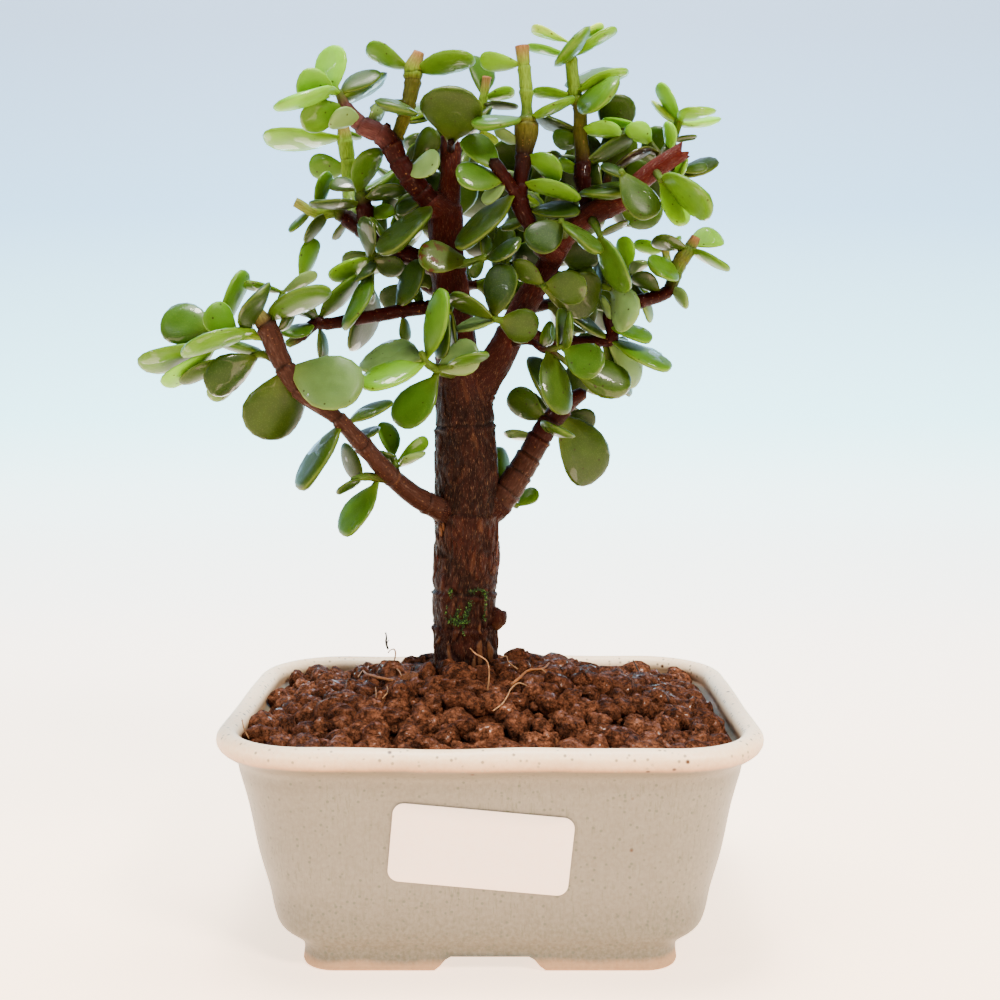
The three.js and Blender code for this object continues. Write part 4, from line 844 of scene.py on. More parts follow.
pointing /= np.linalg.norm(pointing, axis=1, keepdims=True)
beside = np.cross(pointing, rng.normal(size=(count, 3)))
beside /= np.linalg.norm(beside, axis=1, keepdims=True)
beyond = np.cross(pointing, beside)
tall = rng.uniform(0.5, 1.25, (count, 1))
broad = rng.uniform(0.16, 0.34, (count, 1))
spread = root + out * 0.35
waist = spread + pointing * tall * 0.45
beside, beyond = beside * broad, beyond * broad * 0.6
waists = [waist + beside, waist + beyond, waist - beside, waist - beyond]
tufts = np.stack([spread, *waists, spread + pointing * tall], 1)
moss_tones = np.array([linear(code) for code in ("#142a0c", "#1f4014", "#5c8c3c")])
moss_tone = moss_tones[rng.choice(3, count, p=[0.4, 0.42, 0.18])]

cushion_moss, tree, shader, place = new_finish("cushion_moss")
# Moss leaves: thin and matt with a damp sheen, deep green with a few bright tips, mottled over
# about 1 mm.
tint = add(tree, "Attribute", attribute_name="tint").outputs["Color"]
mottle = add(tree, "TexNoise", {"Vector": place, "Scale": 900.0, "Detail": 2.0})
shade = add(tree, "MapRange", {0: mottle, 1: 0.3, 2: 0.7, 3: 0.5, 4: 1.4})
mossy = add(tree, "VectorMath", {0: tint, 1: shade}, operation="MULTIPLY")
feed(shader, {"Base Color": mossy, "Roughness": 0.5, "Specular IOR Level": 0.25})
put(
    "moss_tufts", tufts, copies(caps(1, 4, 0, 5, start=1), count, 6), cushion_moss,
    "jade_foliage", tint=np.repeat(moss_tone, 6, 0),
)


# ------------------------------------------------------------------ rootlets
# Dry rootlets and bits of twig lie on the heap: thin tan fibres of 0.3 to 1 mm, some lifted at
# one end, and one dark sprig that stands up at the back.

# Tone (tan, pale or dark), thickness at both ends in mm, 1 where it stands up from its last mark
# and 0 where it lies, and its marks.
ROOTLET_TONES = {"t": "#85501f", "p": "#9a6f47", "k": "#15120c"}
ROOTLETS = [
    ("t", 0.35, 1.0, 0, [(356, 665), (362.5, 670), (369.5, 675), (381, 678), (393, 680.5)]),
    ("p", 0.2, 0.35, 0, [(362, 671), (360, 674), (358, 677)]),
    ("p", 0.35, 0.5, 1, [(388, 653), (390.5, 650), (394, 649), (395.5, 652.5), (394.5, 660), (394, 667)]),
    ("p", 0.5, 0.3, 0, [(394, 667), (397.5, 669.5), (400, 672.5), (401.5, 676)]),
    ("k", 0.5, 0.7, 1, [(385.5, 632.5), (386.5, 637), (386, 642), (388, 649)]),
    ("k", 0.3, 0.4, 1, [(389, 640), (387.5, 642), (387, 645)]),
    ("p", 0.3, 0.4, 0, [(387, 686), (387.5, 692.5), (382.5, 698.5)]),
    ("p", 0.3, 0.3, 0, [(375.5, 687.5), (376, 692), (376, 697.5)]),
    ("p", 0.3, 0.5, 1, [(470, 648), (476, 654), (482.5, 657.5), (487.5, 662), (489, 670),
                        (489, 679), (487.5, 690)]),
    ("p", 0.45, 0.4, 0, [(493, 711), (501, 705), (507.5, 696), (511, 689), (520, 683), (527.5, 686)]),
    ("t", 0.9, 0.5, 0, [(511, 685), (520, 677.5), (530, 670), (541, 669), (549, 663)]),
    ("p", 0.5, 0.3, 0, [(541, 669), (543.5, 670.5), (545.5, 672.5)]),
    ("p", 0.3, 0.35, 0, [(500, 657.5), (505, 656), (509, 662.5), (517.5, 669)]),
    ("p", 0.35, 0.3, 1, [(242, 720), (244, 728.5), (249, 738.5)]),
    ("k", 0.4, 0.6, 0, [(633, 660), (637, 668), (640, 676)]),
]


def on_heap(marks, rise):
    """Depth at which the sight line through each mark first comes down to a rise over the heap,
    or comes nearest to it."""
    depth = np.linspace(-52, 44, 600)
    line = board(marks[:, :1], marks[:, 1:2], depth[None])
    above = line[..., 2] - mound(line[..., 0], line[..., 1]) - rise
    return depth[np.where((above < 0).any(1), (above < 0).argmax(1), above.argmin(1))]


fibres = []
for tone, start, end, standing, marks in ROOTLETS:
    marks = np.array(marks, float)
    depth = on_heap(marks, 3.4 - standing)
    depth = np.full(len(marks), depth[-1]) if standing else depth
    thick = np.linspace(start, end, len(marks)) / unit(depth)
    middles, radii, runs, knots, along, around, turn = limb(np.column_stack([marks, depth, thick]), 0.5, 7)
    knobs = 1 + 0.5 * (ripple(grain_of(radii * 3, runs, turn) / [1, 1, 0.8], 5) - 0.5)
    points, faces = closed(middles[:, None] + around * (radii[:, None] * knobs)[..., None], along, 0.6)
    fibres.append((points, faces, np.tile(linear(ROOTLET_TONES[tone]), (len(points), 1))))
points, faces, tint = joined(fibres)

dry_root, tree, shader, place = new_finish("dry_root_fibre")
# Dry root: matt woody fibre, tan to straw, flecked dark over about 1 mm.
tint_of = add(tree, "Attribute", attribute_name="tint").outputs["Color"]
fleck = add(tree, "TexNoise", {"Vector": place, "Scale": 1000.0, "Detail": 3.0})
shade = add(tree, "MapRange", {0: fleck, 1: 0.3, 2: 0.65, 3: 0.45, 4: 1.3})
flecked = add(tree, "VectorMath", {0: tint_of, 1: shade}, operation="MULTIPLY")
rubbed = add(tree, "Bump", {"Height": fleck, "Strength": 0.5, "Distance": 0.0003})
feed(shader, {"Base Color": flecked, "Roughness": 0.7, "Normal": rubbed})
put("rootlets", points, faces, dry_root, "bark", tint=tint)


# ------------------------------------------------------------------ branches
# Each branch or shoot springs from the trunk or a limb: jointed, fleshy stems that are dark red
# and brown when old and green when young, some pruned square.

# Each has its stems, parted by strokes: a letter of STEM_TONES for each mark, and the marks, u,
# v, depth, width. Then its leaves: a letter of LEAF_TONES, base u, v, tip u, v, width, lean; or,
# inside the crown, the run to the first of its crossed pairs of leaves, and a leaf's length.

BRANCHES = [
    ("branch_left_low",
     "mmmmmmmme 458,516,4,26 425,502,-3,22 390,475,-12,19 362,444,-20,18 337,418,-25,16 297,388,-28,17 "
     "284,366,-29,20 265,324,-32,19 255,309,-33,12 / "
     "rgg 390,480,-12,9 362,477,-16,8 352,480,-17,6 / "
     "rgg 398,484,-10,8 396,470,-8,8 393,456,-7,7 / "
     "gyyy 270,338,-31,9 252,336,-29,8 236,338,-26,7 214,343,-21,6 / "
     "rggg 278,362,-30,9 262,354,-28,8 245,360,-25,6 232,366,-23,5 / "
     "ggg 268,330,-31,8 276,312,-25,7 283,292,-20,6",
     "w290,368,360,395,55,-6 o284,372,272,440,60,4 d360,440,372,428,18,6 m340,425,299,490,22,-5 "
     "d362,481,342,447,22,7 v377,484,343,536,30,-4 d362,480,337,492,8,6 l393,458,385,422,20,5 "
     "d393,462,380,452,12,-6 l397,462,428,441,15,-6 s400,466,422,453,9,5 m349,422,391,401,17,6 "
     "v214,330,163,318,42,5 l216,335,247,273,13,7 l283,292,243,284,7,4 l237,333,207,308,30,-4 "
     "d242,330,257,293,12,5 d248,332,261,291,13,-4 l222,340,142,368,15,4 l257,330,183,350,12,-6 "
     "p213,350,166,386,13,5 m228,358,182,383,20,4 d257,357,206,388,33,-6 s238,368,214,401,22,4 "
     "l262,354,228,345,8,6 d278,330,293,313,12,5 v268,319,326,287,26,-4 s283,291,317,275,14,5"),
    ("shoot_trunk_front",
     "rggg 458,374,4,12 440,370,-8,10 427,363,-13,8 421,352,-16,6 / "
     "gg 436,368,-9,8 452,366,-13,6",
     "v437,376,398,426,35,-3 y424,363,361,386,27,-5 l427,358,444,289,25,-5 s437,369,479,350,33,-5 "
     "s421,360,369,355,34,6 v448,366,486,353,14,4"),
    ("shoot_trunk_hanging", "rgg 452,302,4,9 450,308,-9,7 449,312,-13,6",
     "d447,312,441,359,12,-2 d452,313,452,352,9,2"),
    ("branch_left_mid",
     "dddddrrrg 455,306,5,16 425,308,1,15 400,311,1,14 375,316,2,13 350,320,3,13 325,324,4,12 "
     "317,323,5,12 300,337,5,11 288,344,6,9 / "
     "rgg 317,323,5,9 308,300,9,8 300,278,12,6",
     "m402,316,408,340,12,5 v320,318,357,275,21,-4 v315,324,283,335,16,-4 d312,318,299,308,10,-5 "
     "m319,328,325,360,12,3 l300,278,318,241,20,5 d397,308,422,262,25,-5 l420,306,417,287,13,-6"),
    ("branch_left_upper",
     "ddddddgye 449,268,6,22 430,262,5,20 395,250,7,19 380,240,9,18 360,228,11,18 345,217,13,16 "
     "335,212,13,13 320,214,12,11 295,202,11,10 / "
     "dddgg 368,233,10,17 366,222,9,17 364,205,8,17 360,192,8,12 358,182,8,8 / "
     "dggg 380,242,8,9 371,257,2,8 371,272,0,7 372,292,3,5 / "
     "gyyyyt 352,222,13,14 351,205,20,15 349,180,26,15 348,160,27,15 345,140,27,15 343,122,27,10",
     "o328,214,304,241,15,-4 v311,212,289,230,9,4 l315,208,331,174,17,5 m359,190,331,182,13,4 "
     "d361,204,309,203,12,-5 v358,194,374,148,24,-4 d363,200,405,188,14,-5 l361,194,397,174,9,6 "
     "m345,220,338,236,10,5 d369,257,367,217,17,-6 m395,248,371,219,10,-6 y368,218,394,208,14,4 "
     "d374,260,402,272,24,6 y369,258,329,278,19,-4 d371,262,361,279,9,-5 v371,271,347,327,17,-5 "
     "d372,290,357,349,28,5 l347,168,309,168,24,3 y344,137,264,140,17,3 l345,130,355,138,9,5"),
    ("branch_top_left",
     "rdddddpppg 449,214,6,22 432,203,3,22 420,190,1,22 408,175,-1,21 398,160,-2,20 390,143,-3,22 "
     "378,133,-4,20 360,124,-5,18 345,105,-6,11 338,91,-7,8 / "
     "dd 388,143,-3,8 387,125,-3,8 / "
     "oqqqqyt 394,148,-2,14 398,135,-1,13 404,118,0,14 409,100,0,15 413,80,0,17 413,72,0,19 "
     "419,52,0,11 / "
     "dg 402,168,-2,8 416,162,5,7",
     "p335,90,328,47,34,3 y334,92,297,80,30,6 p337,92,280,104,17,-5 m341,92,377,71,19,3 "
     "v343,97,377,84,18,7 l343,106,300,122,31,-2 s360,121,331,118,20,-7 s366,124,383,110,14,5 "
     "l410,68,366,50,18,3 l417,70,475,58,25,-3 v408,100,376,110,14,6 m406,107,393,108,22,-6 "
     "d406,122,424,117,10,5 m414,160,436,130,24,-4 d416,162,441,149,10,5 s407,172,439,161,21,-6 "
     "d425,200,397,208,13,6 o427,205,388,253,26,-5 l405,120,434,104,18,6"),
    ("shoot_trunk_top", "bb 451,152,6,8 451,142,-5,7",
     "o451,140,453,87,55,-4"),
    ("shoot_back_stub",
     "bggyyt 449,196,8,13 462,165,22,11 476,132,29,9 481,115,30,9 484,95,30,9 487,77,30,9",
     "v483,96,478,57,25,4 y484,98,515,93,12,4 d483,105,518,106,10,-4 n477,130,497,145,11,4 "
     "d474,136,484,114,8,-5"),
    ("shoot_top_centre",
     "dddddbqgyyt 558,258,-2,18 540,245,-5,17 530,225,-6,16 519,198,-7,18 520,185,-7,16 524,155,-6,17 "
     "527,122,-6,20 527,116,-6,14 526,90,-6,14 524,65,-6,13 522,46,-6,14 / "
     "dddb 524,204,-7,13 512,188,-9,13 503,175,-11,13 493,162,-12,13",
     "o513,194,459,249,26,-6 v502,180,456,175,24,-6 s506,182,483,203,13,-8 v498,170,466,136,24,4 "
     "s521,142,495,131,14,4 v521,118,479,127,15,-4 l531,118,574,97,13,-5 y520,64,480,62,17,3 "
     "l527,157,562,174,22,-6 l524,184,580,197,13,-6 d530,210,580,212,17,4 y524,192,534,207,12,6 "
     "m526,222,504,225,14,5"),
    ("shoot_top_right_centre",
     "dddddqqvyyy 578,226,-1,15 587,212,1,14 585,198,2,13 582,175,2,17 583,165,3,16 580,130,3,14 "
     "579,105,4,14 575,97,4,15 574,88,4,13 571,58,5,12 570,42,5,6",
     "v579,135,555,143,22,8 d578,130,541,122,12,5 p581,131,621,130,16,-5 m583,164,632,139,15,4 "
     "y582,168,560,166,12,4 m584,190,619,194,18,-6 p569,56,527,47,7,4 y573,56,617,28,10,-3 "
     "l571,58,573,42,30,-9 n569,42,531,29,6,2 n571,42,604,25,6,-2 y576,92,629,70,13,-4 "
     "v575,88,600,71,18,7 l579,99,612,93,28,-7 y574,96,533,93,12,4"),
    ("branch_top_right",
     "ddgv 650,176,-8,12 660,160,0,10 668,148,3,10 679,121,5,9 / "
     "ogv 662,158,0,7 648,140,4,6 636,124,5,5",
     "p680,120,657,85,14,3 y680,120,706,109,14,-3 n678,123,663,108,8,5 p680,123,707,121,7,5 "
     "p668,148,672,124,14,-6 p650,143,630,124,22,-6 p636,124,602,122,9,3 d672,140,695,137,6,4"),
    ("shoot_red_end", "rgg 668,164,-10,10 674,172,2,8 682,178,8,6",
     "m682,172,706,165,12,3 o682,178,708,160,24,6 y672,172,686,166,13,-5"),
    ("shoot_red_front", "rg 655,170,-10,9 661,180,-18,7",
     "y661,182,684,226,26,-2 l662,180,711,205,25,-5"),
    ("shoot_red_middle", "rgg 630,192,-8,10 624,176,-17,7 621,171,-19,6",
     "m621,172,652,218,30,-4 d624,178,605,164,12,6"),
    ("branch_right",
     "rrrrdddddgqgt 512,330,4,17 540,338,9,14 570,342,9,13 600,341,7,13 612,338,5,13 608,314,5,10 "
     "618,305,5,12 645,300,6,14 668,291,8,13 676,272,10,14 680,262,11,16 690,248,12,13 696,237,12,10 / "
     "gyt 676,272,11,9 668,262,19,8 664,243,24,8 / "
     "dgg 645,300,6,8 634,286,12,7 630,272,15,6",
     "y630,272,620,238,22,4 s632,275,644,261,15,-5 y664,250,634,245,15,4 m687,250,654,238,14,-5 "
     "y690,245,720,235,20,5 l690,250,730,269,13,-5 l666,250,678,241,9,5 l678,270,653,270,28,-8 "
     "d660,293,634,274,17,-5 s672,288,688,306,15,-5 s642,302,652,318,10,5 s609,318,605,300,8,-5 "
     "d608,338,560,306,13,-5 l609,325,651,341,14,-5 l612,340,671,369,15,-5 l611,341,652,353,9,6 "
     "s608,341,640,378,26,5 m604,343,631,384,38,8"),
    ("shoot_right_upper", "rgg 590,218,-5,10 597,228,-13,8 600,236,-15,6",
     "v599,236,629,291,26,-3 d600,234,627,223,9,5"),
    ("shoot_pale_sage", "rgg 545,272,2,9 580,280,0,8 612,289,-3,6",
     "s613,289,632,325,30,-4 d606,287,600,262,16,6"),
    ("shoot_inner_left", "rgg 450,264,5,10 470,262,-8,8 486,257,-10,7",
     "d483,256,487,236,14,4 d486,258,519,246,16,-4 d484,262,470,276,12,-4 b468,260,418,256,27,-5"),
    ("shoot_inner_right", "rgg 518,322,2,9 505,321,-9,8 494,319,-12,7",
     "d493,317,507,264,29,-2 m499,320,538,330,34,-6 m493,319,450,294,16,-4 s492,322,458,327,14,5"),
    ("shoot_glossy_pair", "rgg 538,284,1,10 542,284,-10,7 545,288,-12,6",
     "m543,284,513,262,23,-3 m545,286,587,288,32,-5 o546,292,600,296,45,7"),
    ("shoot_round_pair", "rgg 566,238,-3,10 562,226,-13,7 561,220,-15,6",
     "d560,222,533,250,34,-5 m562,220,596,252,17,-4"),
    ("shoot_fork_right",
     "brrg 506,344,3,9 532,342,-4,7 545,350,-8,7 564,346,-10,6 / "
     "rgg 551,350,-9,6 566,362,-4,6 572,368,0,6",
     "v564,348,601,371,34,-5 m574,369,631,384,38,3 v540,347,553,324,17,5 d558,347,561,308,10,4 "
     "m564,345,571,320,9,-4 m549,351,563,415,33,-4"),
    ("branch_right_low",
     "mmmmmrrrr 474,512,6,30 495,505,6,30 508,490,6,29 520,472,6,27 530,455,6,25 540,437,6,24 "
     "552,420,6,22 565,405,5,20 583,393,5,13 / "
     "rgg 512,484,8,8 508,500,16,7 517,506,20,6",
     "m545,418,508,395,27,6 d552,412,538,358,26,6 s536,436,509,436,15,6 m543,428,565,432,12,-6 "
     "o561,418,598,479,45,6 v508,497,500,447,12,6 l518,506,536,489,17,4"),
    ("shoot_back_crown",
     "rrggg 449,252,8,14 456,235,22,12 452,205,33,11 444,175,39,9 440,152,42,7", (14, 15)),
    ("shoot_back_centre",
     "rrggg 546,268,2,13 556,245,18,12 560,215,31,10 556,185,39,8 552,160,42,7", (14, 15)),
    ("shoot_back_left",
     "rrggg 452,296,8,14 430,288,24,12 402,268,34,10 386,240,40,8 380,222,42,6", (14, 15)),
    ("shoot_back_right", "rrgg 522,310,4,13 556,302,22,11 594,292,32,9 622,282,38,7", (14, 15)),
    ("shoot_back_low", "rrgg 538,442,8,12 556,412,20,10 572,388,28,8 590,366,32,6", (14, 13)),
    ("shoot_back_top_right", "rrgg 604,210,-3,12 618,200,14,10 636,184,24,8 650,168,29,6", (14, 13)),
    ("shoot_inner_centre", "rrgg 556,252,0,12 542,228,12,10 530,200,22,9 522,172,28,7", (9, 14)),
    ("shoot_inner_upper_left", "rrgg 449,240,6,12 428,226,16,10 414,204,24,8 408,178,29,6", (9, 14)),
    ("shoot_inner_lower", "rrgg 454,286,8,12 478,284,16,9 502,274,20,8 516,256,23,6", (9, 14)),
    ("shoot_inner_top", "rrgg 600,208,-3,11 606,184,8,9 612,158,16,8 614,132,21,6", (9, 13)),
]
STEM_TONES = {
    "d": "#200403", "r": "#240906", "b": "#180a06", "o": "#383210", "g": "#3c541a", "v": "#4c6c1a",
    "y": "#5e7c22", "p": "#46292a", "q": "#484a18", "t": "#7e563a", "m": "#2f1b15", "e": "#6d7038",
}


def numbers(word):
    """Numbers of a word that parts them by commas."""
    return [float(number) for number in word.split(",")]


def stems_of(text):
    """Letters and marks of each stem of a branch."""
    stems = [stem.split() for stem in text.split("/")]
    return [(letters, np.array([numbers(word) for word in words])) for letters, *words in stems]


branches = [(name, stems_of(stems), leaves) for name, stems, leaves in BRANCHES]

stem_skin, tree, shader, place = new_finish("fleshy_stem_skin")
# Skin of a succulent stem: taut, wet in streaks, streaked lengthwise, with corky tan freckles
# of about 0.6 mm, a grey-tan cork rim on each joint's collar and a dark groove above it.
grown = add(tree, "Attribute", attribute_name="grain").outputs["Vector"]
raised = add(tree, "Attribute", attribute_name="relief").outputs["Fac"]
tint = add(tree, "Attribute", attribute_name="tint").outputs["Color"]
length = add(tree, "Mapping", {"Vector": grown, "Scale": (1.0, 1.0, 0.2)})
streak = add(tree, "TexNoise", {"Vector": length, "Scale": 2.2, "Detail": 5.0, "Roughness": 0.65})
shade = add(tree, "MapRange", {0: streak, 1: 0.3, 2: 0.7, 3: 0.6, 4: 1.4})
streaked = add(tree, "VectorMath", {0: tint, 1: shade}, operation="MULTIPLY")
collar = add(tree, "MapRange", {0: raised, 1: 0.26, 2: 0.46, 4: 0.35})
corked = add(tree, "Mix", {0: collar, 6: streaked, 7: "#65452c"})
joint = add(tree, "MapRange", {0: raised, 1: -0.08, 2: -0.3, 4: 0.75})
jointed = add(tree, "Mix", {0: joint, 6: corked, 7: "#120703"})
cork = add(tree, "TexNoise", {"Vector": place, "Scale": 1300.0, "Detail": 2.0})
freckle = add(tree, "MapRange", {0: cork, 1: 0.66, 2: 0.74, 4: 0.5})
freckled = add(tree, "Mix", {0: freckle, 6: jointed, 7: "#7d5a38"})
film = add(tree, "MapRange", {0: streak, 1: 0.58, 2: 0.64, 4: 0.8})
skin_grain = add(tree, "Bump", {"Height": streak, "Strength": 0.5, "Distance": 0.0005})
feed(shader, {
    "Base Color": freckled, "Roughness": 0.42, "Specular IOR Level": 0.05, "Coat Weight": film,
    "Coat Roughness": 0.18, "Coat IOR": 1.33, "Normal": skin_grain,
})


STOUT, STOUTEST = 18, 26


def stem_skin_of(letters, marks):
    """One stem: a pipe through its marks, with its colours. Each joint is a low collar, a bell curve
    over 0.7 mm, with a groove above it, bolder on the stoutest stems."""
    spacing, sides = (0.45, 24) if marks[0][3] >= STOUT else (0.6, 12)
    middles, radii, runs, knots, along, around, turn = limb(marks, spacing, sides)
    grain = grain_of(radii, runs, turn)
    relief = 0.2 * (ripple(grain / [1.4, 1.4, 5], 1) - 0.5)
    relief = relief + 0.34 * (ripple(grain / [2.6, 2.6, 3.4], 6) - 0.5)
    bold = 1.25 if marks[0][3] >= STOUTEST else 1.0
    for knot in knots[1:-1]:
        off = runs[:, None] - knot + 0.9 * (ripple(grain / [2.5, 2.5, 400], 2 + knot) - 0.5)
        collar, groove = np.exp(-(((off + 0.8) / 0.7) ** 2)), np.exp(-((off / 0.4) ** 2))
        relief = relief + bold * (0.26 * collar - 0.34 * groove)
    relief = relief * np.minimum(1, radii[:, None] / 3)
    rings = middles[:, None] + around * (radii[:, None] + relief)[..., None]
    pruned = letters[-1] in "te"
    points, faces = closed(rings, along, -0.15 if pruned else 0.7)
    tones = np.array([linear(STEM_TONES[letter]) for letter in letters])
    mixed = np.stack([np.interp(runs, knots, tones[:, k]) for k in range(4)], -1)
    tint = np.repeat(mixed[:, None], sides, 1)
    return points, faces, with_ends(relief, 0, 0), with_ends(grain), with_ends(tint)


for name, stems, _ in branches:
    points, faces, relief, grain, tint = joined([stem_skin_of(*stem) for stem in stems])
    put(
        name + "_stems", points, faces, stem_skin, "bark", [name],
        relief=relief, grain=grain, tint=tint,
    )


# ------------------------------------------------------------------ leaves
# Small plump obovate leaves in opposite pairs, each on a very short stalk: waxy, pale-rimmed,
# dark and olive inside the crown, lime at the young tips, sage where the bloom of wax is thick.
# The tone given to each leaf also holds painted light and shade: darker for leaves in shade deep
# in the crown, paler lime for backlit leaves at the top right.
# Each leans by its own draw in depth until it is clear of the leaves before it.

# The least breadth of a leaf for its length, how deep its stalk stands in the stem, the berth a
# leaf gives the next, and how far off a leaf still counts; then the leans tried, all in mm.
SLENDER, ROOT_SINK, BERTH, REACH = 0.64, 0.6, 2.3, 26
SWINGS = [0, -2, 2, -4, 4, -6, 6, -8, 8, -11, 11]


def draw(seed):
    """Repeatable draw between 0 and 1 for a number."""
    return fraction(seed * 12.9898)


def spans_of(marks):
    """Both ends of each stretch between marks."""
    marks = np.array(marks, float)
    return np.stack([marks[:-1], marks[1:]], 1)


def seat(spans, u, v):
    """Nearest place to a mark on a branch's stems, kept 0.9 mm from the ends of each stretch, and the
    stem's direction."""
    start, end = spans[:, 0], spans[:, 1]
    way = end[:, :2] - start[:, :2]
    run = (way**2).sum(1)
    inset = 0.9 / unit(start[:, 2]) / np.sqrt(run)
    share = (([u, v] - start[:, :2]) * way).sum(1) / run
    share = np.clip(share, np.minimum(inset, 0.5), np.maximum(1 - inset, 0.5))
    spot = start + (end - start) * share[:, None]
    k = np.hypot(*(spot[:, :2] - [u, v]).T).argmin()
    axis = board(*end[k, :3]) - board(*start[k, :3])
    return board(*spot[k, :3]), axis / np.linalg.norm(axis)


def drawn_leaf(spans, row, swing):
    """Leaf from its base and tip on the board: it stands off in depth far enough for its width, and
    rolls if it is seen narrow."""
    u0, v0, u1, v1, width, lean = row
    root, axis = seat(spans, u0, v0)
    base = board(u0, v0, root[1])
    seen = np.linalg.norm(board(u1, v1, root[1]) - base)
    broad = width * unit(root[1])
    least = np.sqrt(max(0, (broad / 0.85) ** 2 - seen**2))
    tip = board(u1, v1, root[1] + np.sign(lean) * max(abs(lean), least) + swing)
    length = np.linalg.norm(tip - base)
    along = (tip - base) / length
    level = np.cross(along, (base - EYE) / np.linalg.norm(base - EYE))
    level /= np.linalg.norm(level)
    facing = np.cross(level, along)
    whole = max(broad, SLENDER * length)
    roll = np.arccos(np.clip((broad - 0.6) / whole, 0, 1))
    sides = [level * np.cos(angle) + facing * np.sin(angle) for angle in (roll, -roll)]
    upright = [abs(np.cross(along, side) @ axis) for side in sides]
    return root, base, tip, sides[0 if upright[0] >= upright[1] else 1], whole, axis


def paired_leaf(root, axis, radial, angle, length):
    """Leaf of an opposite pair, at an angle off its stem, its upper face toward the stem's tip."""
    along = axis * np.cos(angle) + radial * np.sin(angle)
    side = np.cross(along, axis)
    base = root + along * 1.5
    return root, base, base + along * length, side / np.linalg.norm(side), 0.74 * length, axis


def samples(leaf):
    """Fifteen points spread over a blade."""
    _, base, tip, side, width, _ = leaf
    share = np.array([0.12, 0.34, 0.56, 0.78, 0.96])[:, None, None]
    wide = width / 2 * np.sin(np.pi * np.clip(0.12 + share * 0.8, 0, 1))
    across = np.array([-0.72, 0, 0.72])[None, :, None]
    return (base + (tip - base) * share + side * across * wide).reshape(-1, 3)


all_marks = [BOLE, RIGHT_LIMB] + [marks for _, stems, _ in branches for _, marks in stems]
spans = np.concatenate([spans_of(marks) for marks in all_marks])
pole_start = board(*spans[:, 0, :3].T)
pole_way = board(*spans[:, 1, :3].T) - pole_start
pole_radius = (spans[:, 0, 3] + spans[:, 1, 3]) / 4 * unit(spans[:, 0, 2])
placed, placed_points = [], np.empty((0, 15, 3))


def crowding(points):
    """How deeply a leaf's points stand in the berth of the leaves placed so far, and of all stems."""
    within_reach = np.linalg.norm(placed_points[:, 7] - points[7], axis=1) < REACH
    near = placed_points[within_reach].reshape(-1, 3)
    gaps = np.linalg.norm(points[:, None] - near[None], axis=2)
    free = points[3:, None]
    share = ((free - pole_start) * pole_way).sum(2) / (pole_way**2).sum(1)
    nearest = pole_start + pole_way * np.clip(share, 0, 1)[..., None]
    clear = np.linalg.norm(free - nearest, axis=2)
    return np.maximum(0, BERTH - gaps).sum() + np.maximum(0, pole_radius + 1 - clear).sum()


for name, stems, leaves in branches:
    if isinstance(leaves, str):
        own = np.concatenate([spans_of(marks) for _, marks in stems])
        for word in leaves.split():
            tries = [drawn_leaf(own, numbers(word[1:]), swing) for swing in SWINGS]
            sums = [crowding(samples(leaf)) + abs(swing) * 0.05 for leaf, swing in zip(tries, SWINGS)]
            leaf = tries[int(np.argmin(sums))]
            placed.append((name, word[0], leaf))
            placed_points = np.concatenate([placed_points, samples(leaf)[None]])

for index, (name, stems, leaves) in enumerate(branches):
    if not isinstance(leaves, str):
        start, size = leaves
        line = board(*stems[0][1][:, :3].T)
        knots = run_of(line)
        for node, run in enumerate(np.arange(start, knots[-1] + 1, 7.5)):
            share = min(run / knots[-1], 0.999)
            k = min(np.searchsorted(knots, share * knots[-1], side="right"), len(knots) - 1)
            axis = (line[k] - line[k - 1]) / (knots[k] - knots[k - 1])
            root = line[k - 1] + axis * (share * knots[-1] - knots[k - 1])
            across = np.cross(axis, [0, 0, 1])
            across /= np.linalg.norm(across)
            for half in (0, 1):
                seed = index * 100 + node * 2 + half
                turn = np.pi / 2 * node + np.pi * half + draw(seed) * 0.8
                radial = across * np.cos(turn) + np.cross(axis, across) * np.sin(turn)
                length = size * (0.82 + 0.3 * draw(seed + 0.5)) * (0.8 if share > 0.9 else 1)
                for angle in np.radians([62, 48, 76, 36]):
                    leaf = paired_leaf(root, axis, radial, angle, length)
                    if crowding(samples(leaf)) < 1.5:
                        placed.append((name, "dmodvm"[seed % 6], leaf))
                        placed_points = np.concatenate([placed_points, samples(leaf)[None]])
                        break

# One dead leaf hangs dry and brown on the top right branch.
dead_spans = spans_of([[650, 176, -8, 12], [660, 160, 0, 10], [668, 148, 3, 10]])
dead_leaf = drawn_leaf(dead_spans, [652, 150, 620, 162, 7, -3], -5)
placed.append(("branch_top_right", "k", dead_leaf))

# Leaf tones. Besides each leaf's own colour, the letters given to the leaves hold painted shade for leaves
# deep in the crown and painted light for backlit leaves at the top right.
LEAF_TONES = {
    "d": "#1e340a", "m": "#2a420c", "o": "#263a0a", "v": "#32540e", "l": "#436d0e", "y": "#5e930e",
    "p": "#6cad24", "s": "#5c7b44", "b": "#2d3f09", "k": "#1c0d05", "n": "#acd33f", "w": "#4a6634",
}
# Where a blade's rings are cut, as a share of its length, and where the points of a ring lie.
RING_SHARE = np.array([0.0, 0.07, 0.2, 0.37, 0.54, 0.7, 0.83, 0.925, 0.98])
RING_TURN = np.radians([0, 28, 68, 112, 152, 180, 208, 248, 292, 332])


def outline(share, widest, taper):
    """Half a blade's width at a share of its length, for its widest: a sine of a power up to the
    widest place, then a round end."""
    grow = 0.1 + 0.9 * np.sin(np.pi / 2 * np.clip(share / widest, 0, 1) ** taper)
    fall = np.clip((share - widest) / (1 - widest), 0, 1)
    return np.where(share < widest, grow, np.maximum(1 - fall**2.25, 0) ** (1 / 2.25))


